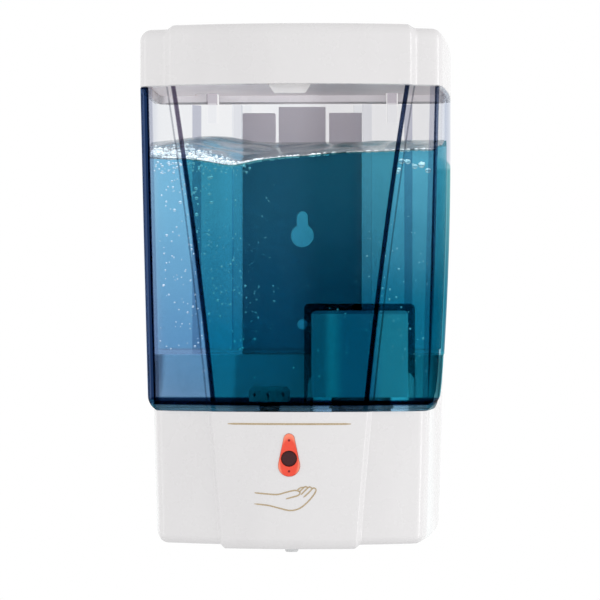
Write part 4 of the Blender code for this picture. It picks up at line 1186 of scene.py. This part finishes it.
def mottled_finish(name, size, detail, colours, depth, span=None, **fixed):
    """Plain material whose grain mixes two colours."""
    finish = Finish(name, **fixed)
    mottled = finish.grain(size, detail)
    finish.set("Base Color", (mottled.span(*span) if span else mottled).blend(*colours))
    finish.bump(mottled, depth)
    return finish


# Painted light: an emission that stands in for light reaching a part that is no lamp.
def glow(finish, colour, strength):
    finish.set("Emission Color", colour)
    finish.set("Emission Strength", strength)
    return finish


GLOSS_WHITE = (0.755, 0.743, 0.747)
GLOSS_SHADE = (0.735, 0.722, 0.727)
LID_PAINTED_GLOW = 0.34
BAY_PAINTED_GLOW = 0.55
SHADED_SHELF = (0.03, 0.16, 0.25)


def lid_finish():
    """White gloss plastic whose rear wall has a painted glow inside, for the light that comes through the
    tank.
    """
    finish = moulded("white_gloss_lid", GLOSS_WHITE, GLOSS_SHADE, 0.24, 0.012, 0.3)
    x, y, h = finish.axes()
    # Painted glow on the inner face of the rear wall.
    rear = y.pulse(-12.0, -2.6, 0.3) * h.span(188.0, 184.0) * abs(x).span(61.0, 58.0)
    return glow(finish, (1.0, 0.96, 1.0), rear * LID_PAINTED_GLOW)


def liner_finish():
    """Pale liner under the lid, with a painted glow for the light that comes through the tank, less on its
    right.
    """
    finish = moulded("liner_plastic", (0.84, 0.79, 0.80), (0.74, 0.69, 0.71), 0.5, 0.03)
    x, _, _ = finish.axes()
    return glow(finish, (1.0, 0.89, 0.90), x.span(-14.0, 22.0, 0.25, 0.13))


def base_finish():
    """White gloss plastic: its shelf has a painted glow for light coming through from the battery bay, and
    painted shade under the dome.
    """
    finish = moulded("white_gloss_base", GLOSS_WHITE, GLOSS_SHADE, 0.26, 0.012, 0.3)
    x, y, h = finish.axes()
    side = abs(x)
    # Painted glow on the shelf under the tank.
    inside = side.span(57.5, 54.0) * y.pulse(-86.0, -14.0, 5.0)
    lit = inside * h.span(53.2, 57.0, 0.2, 1.0) * side.span(24.0, 27.0, 0.5, 1.0)
    # Painted shade on the shelf under the dome.
    under_dome = x.pulse(DOME_X[0] - 1.0, DOME_X[1] + 1.0, 1.0)
    under_dome *= y.pulse(DOME_Y[0] - 4.0, DOME_Y[1] + 1.0, 1.0)
    plain = Value(finish, finish.shader.inputs["Base Color"].links[0].from_socket)
    finish.set("Base Color", (under_dome * h.pulse(51.5, 54.0, 0.5)).blend(plain, SHADED_SHELF))
    return glow(finish, (0.75, 1.0, 1.0), lit * BAY_PAINTED_GLOW)


def cup_finish():
    """White cup with painted shade down its middle, for the motor behind it, and darker along its left
    edge; it also has a painted glow of its own colour.
    """
    finish = Finish("motor_cup_plastic", Roughness=0.5)
    x, _, _ = finish.axes()
    mottled = finish.grain(6.0, 3.0, 0.5, (1.0, 1.0, 0.25))
    bright = mottled.blend((0.74, 0.80, 0.86), (0.66, 0.73, 0.80))
    bright = x.span(12.0, 15.5).blend((0.36, 0.42, 0.52), bright)
    tone = (x.pulse(21.0, 31.0, 5.0) * 0.8).blend(bright, (0.26, 0.36, 0.54))
    finish.set("Base Color", tone)
    finish.bump(mottled, 0.03)
    # Painted glow: the cup emits its own colour.
    return glow(finish, tone, 0.8)


LENS_TONES = ((0.045, 0.014, 0.016), (0.075, 0.02, 0.022))
SILICONE_TONES = ((0.86, 0.87, 0.87), (0.79, 0.80, 0.81))
INK_TONES = ((0.40, 0.30, 0.18), (0.54, 0.43, 0.28))


def make_finishes():
    return {
        "white_gloss_plastic": moulded("white_gloss_fine", GLOSS_WHITE, GLOSS_SHADE, 0.2, 0.012, 0.3),
        "white_matt_plastic": moulded("white_matt_fine", (0.80, 0.79, 0.80), (0.76, 0.75, 0.77), 0.5, 0.03),
        "smoky_clear_plastic": tank_finish(),
        "frosted_plastic": moulded("frosted_fine", (0.62, 0.61, 0.62), (0.56, 0.55, 0.56), 0.45, 0.03,
                                   Transmission_Weight=0.35),
        "orange_window": window_finish(),
        "dark_lens": mottled_finish("dark_lens_fine", 0.7, 2.0, LENS_TONES, 0.004, IOR=1.25,
                                    Roughness=0.12),
        "clear_resin": moulded("clear_resin_fine", (0.70, 0.68, 0.72), (0.62, 0.60, 0.64), 0.12, 0.01,
                               Transmission_Weight=0.6),
        "board_green": board_finish(),
        "black_plastic": moulded("black_plastic_fine", (0.022, 0.022, 0.025), (0.035, 0.035, 0.037),
                                 0.4, 0.03),
        "bright_steel": metal("bright_steel_fine", (0.66, 0.66, 0.68), 0.22, False),
        "motor_steel": metal("motor_steel_fine", (0.52, 0.52, 0.53), 0.36, True),
        "nylon": moulded("nylon_fine", (0.78, 0.76, 0.69), (0.70, 0.68, 0.61), 0.42, 0.03),
        "silicone": mottled_finish("silicone_fine", 3.0, 3.0, SILICONE_TONES, 0.03, IOR=1.41,
                                   Transmission_Weight=0.2, Roughness=0.35),
        "battery_wrap": wrap_finish(),
    }


def ink_finish():
    """Gold printing ink."""
    return mottled_finish("gold_ink", 0.35, 3.0, INK_TONES, 0.01, (0.35, 0.65), Metallic=0.35,
                          Roughness=0.4)


def repaint(node, finish):
    for slot in frame["nodes"][node].material_slots:
        slot.material = finish.mat


def dress_nodes(finishes):
    """Gives every CAD node the fine finish of its material slot."""
    for node in frame["nodes"].values():
        for slot in node.material_slots:
            slot.material = finishes[slot.material.name.split(".")[0]].mat


# ---- stage ----

CAMERA_PLACE = (0.0536, -1.121, -0.0096)
CAMERA_YAW = 2.8
CAMERA_LENS = 156.4


def make_camera():
    data = bpy.data.cameras.new("camera")
    data.sensor_width = 36.0
    data.lens = CAMERA_LENS
    camera = add_object("camera", data)
    camera.location = CAMERA_PLACE
    camera.rotation_euler = (math.pi / 2, 0.0, math.radians(CAMERA_YAW))
    bpy.context.scene.camera = camera


def make_light(name, place, size, power):
    data = bpy.data.lights.new(name, "AREA")
    data.shape = "RECTANGLE"
    data.size, data.size_y = size
    data.energy = power
    light = add_object(name, data)
    light.location = place
    light.rotation_euler = (-Vector(place)).to_track_quat("-Z", "Y").to_euler()


ROOM_GLOW = 1.17
SKY_STOPS = [(0.02, 0.6), (0.3, 0.75), (0.42, 1.0), (0.58, 1.0), (0.72, 0.85), (0.98, 0.75)]


class Sky(Finish):
    """World whose grey follows the way up, a little brighter on the room's side."""

    def __init__(self):
        self.world = bpy.data.worlds.new("studio")
        self.world.use_nodes = True
        self.tree = self.world.node_tree
        _, inward, up = self.split(self.node("ShaderNodeTexCoord").outputs["Generated"])
        ramp = self.node("ShaderNodeValToRGB")
        ramp.color_ramp.interpolation = "EASE"
        stops = ramp.color_ramp.elements
        for spot, grey in SKY_STOPS:
            stops.new(spot).color = (grey, grey, grey, 1.0)
        stops.remove(stops[0])
        stops.remove(stops[-1])
        self.feed(ramp.inputs["Fac"], up.span(-1.0, 1.0, smooth_ends=False))
        background = self.tree.nodes["Background"]
        self.link(ramp.outputs["Color"], background.inputs["Color"])
        self.feed(background.inputs["Strength"], inward.span(-0.8, 0.0, ROOM_GLOW, 1.0, False))


def make_stage():
    bpy.context.scene.view_settings.view_transform = "Standard"
    bpy.context.scene.world = Sky().world
    make_light("strip_left", (-0.80, -0.30, 0.02), (0.12, 1.0), 0.6)
    make_light("strip_right", (0.80, -0.24, 0.02), (0.12, 1.0), 1.8)
    floor_points, floor_faces = box((-3000.0, -3000.0, -1200.0), (3000.0, 3000.0, -1190.0))
    floor = new_piece("floor", floor_points, floor_faces, None)
    pale = Finish("pale_floor", Roughness=0.6)
    pale.set("Base Color", pale.grain(400.0, 3.0).blend((0.90, 0.90, 0.90), (0.86, 0.86, 0.87)))
    floor.data.materials.append(pale.mat)


# ---- assembly ----

def place(piece, body, slot, node=None):
    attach(piece, body)
    if node:
        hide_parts(node)


def main():
    make_camera()
    make_stage()
    finishes = make_finishes()
    dress_nodes(finishes)
    repaint("wall_bracket", moulded("bracket_plastic", (0.86, 0.82, 0.87), (0.82, 0.78, 0.84), 0.6, 0.03,
                                    Transmission_Weight=0.48, IOR=1.03))
    repaint("lid_liner", liner_finish())
    # The catch gets a faint painted glow.
    catch = moulded("catch_plastic", (0.86, 0.85, 0.84), (0.80, 0.79, 0.79), 0.4)
    repaint("lid_catch", glow(catch, (1.0, 0.97, 0.96), 0.13))
    repaint("inlet_strainer", moulded("strainer_plastic", (0.50, 0.58, 0.62), (0.42, 0.50, 0.54),
                                      0.5, 0.03))
    place(make_tank(finishes["smoky_clear_plastic"].mat), "unit", "smoky_clear_plastic", "tank")
    place(make_lid(lid_finish().mat), "lid", "white_gloss_plastic", "lid")
    place(make_base(base_finish().mat), "unit", "white_gloss_plastic", "base_housing")
    ink = ink_finish()
    for make, finish, slot in ((make_liquid, liquid_finish(), "smoky_clear_plastic"),
                               (make_surface, surface_finish(), "smoky_clear_plastic"),
                               (make_bubbles, bubble_finish(), "clear_resin"),
                               (make_motor_cup, cup_finish(), "white_matt_plastic"),
                               (make_rule, ink, "nylon"), (make_hand, ink, "nylon")):
        place(make(finish.mat), "unit", slot)


main()
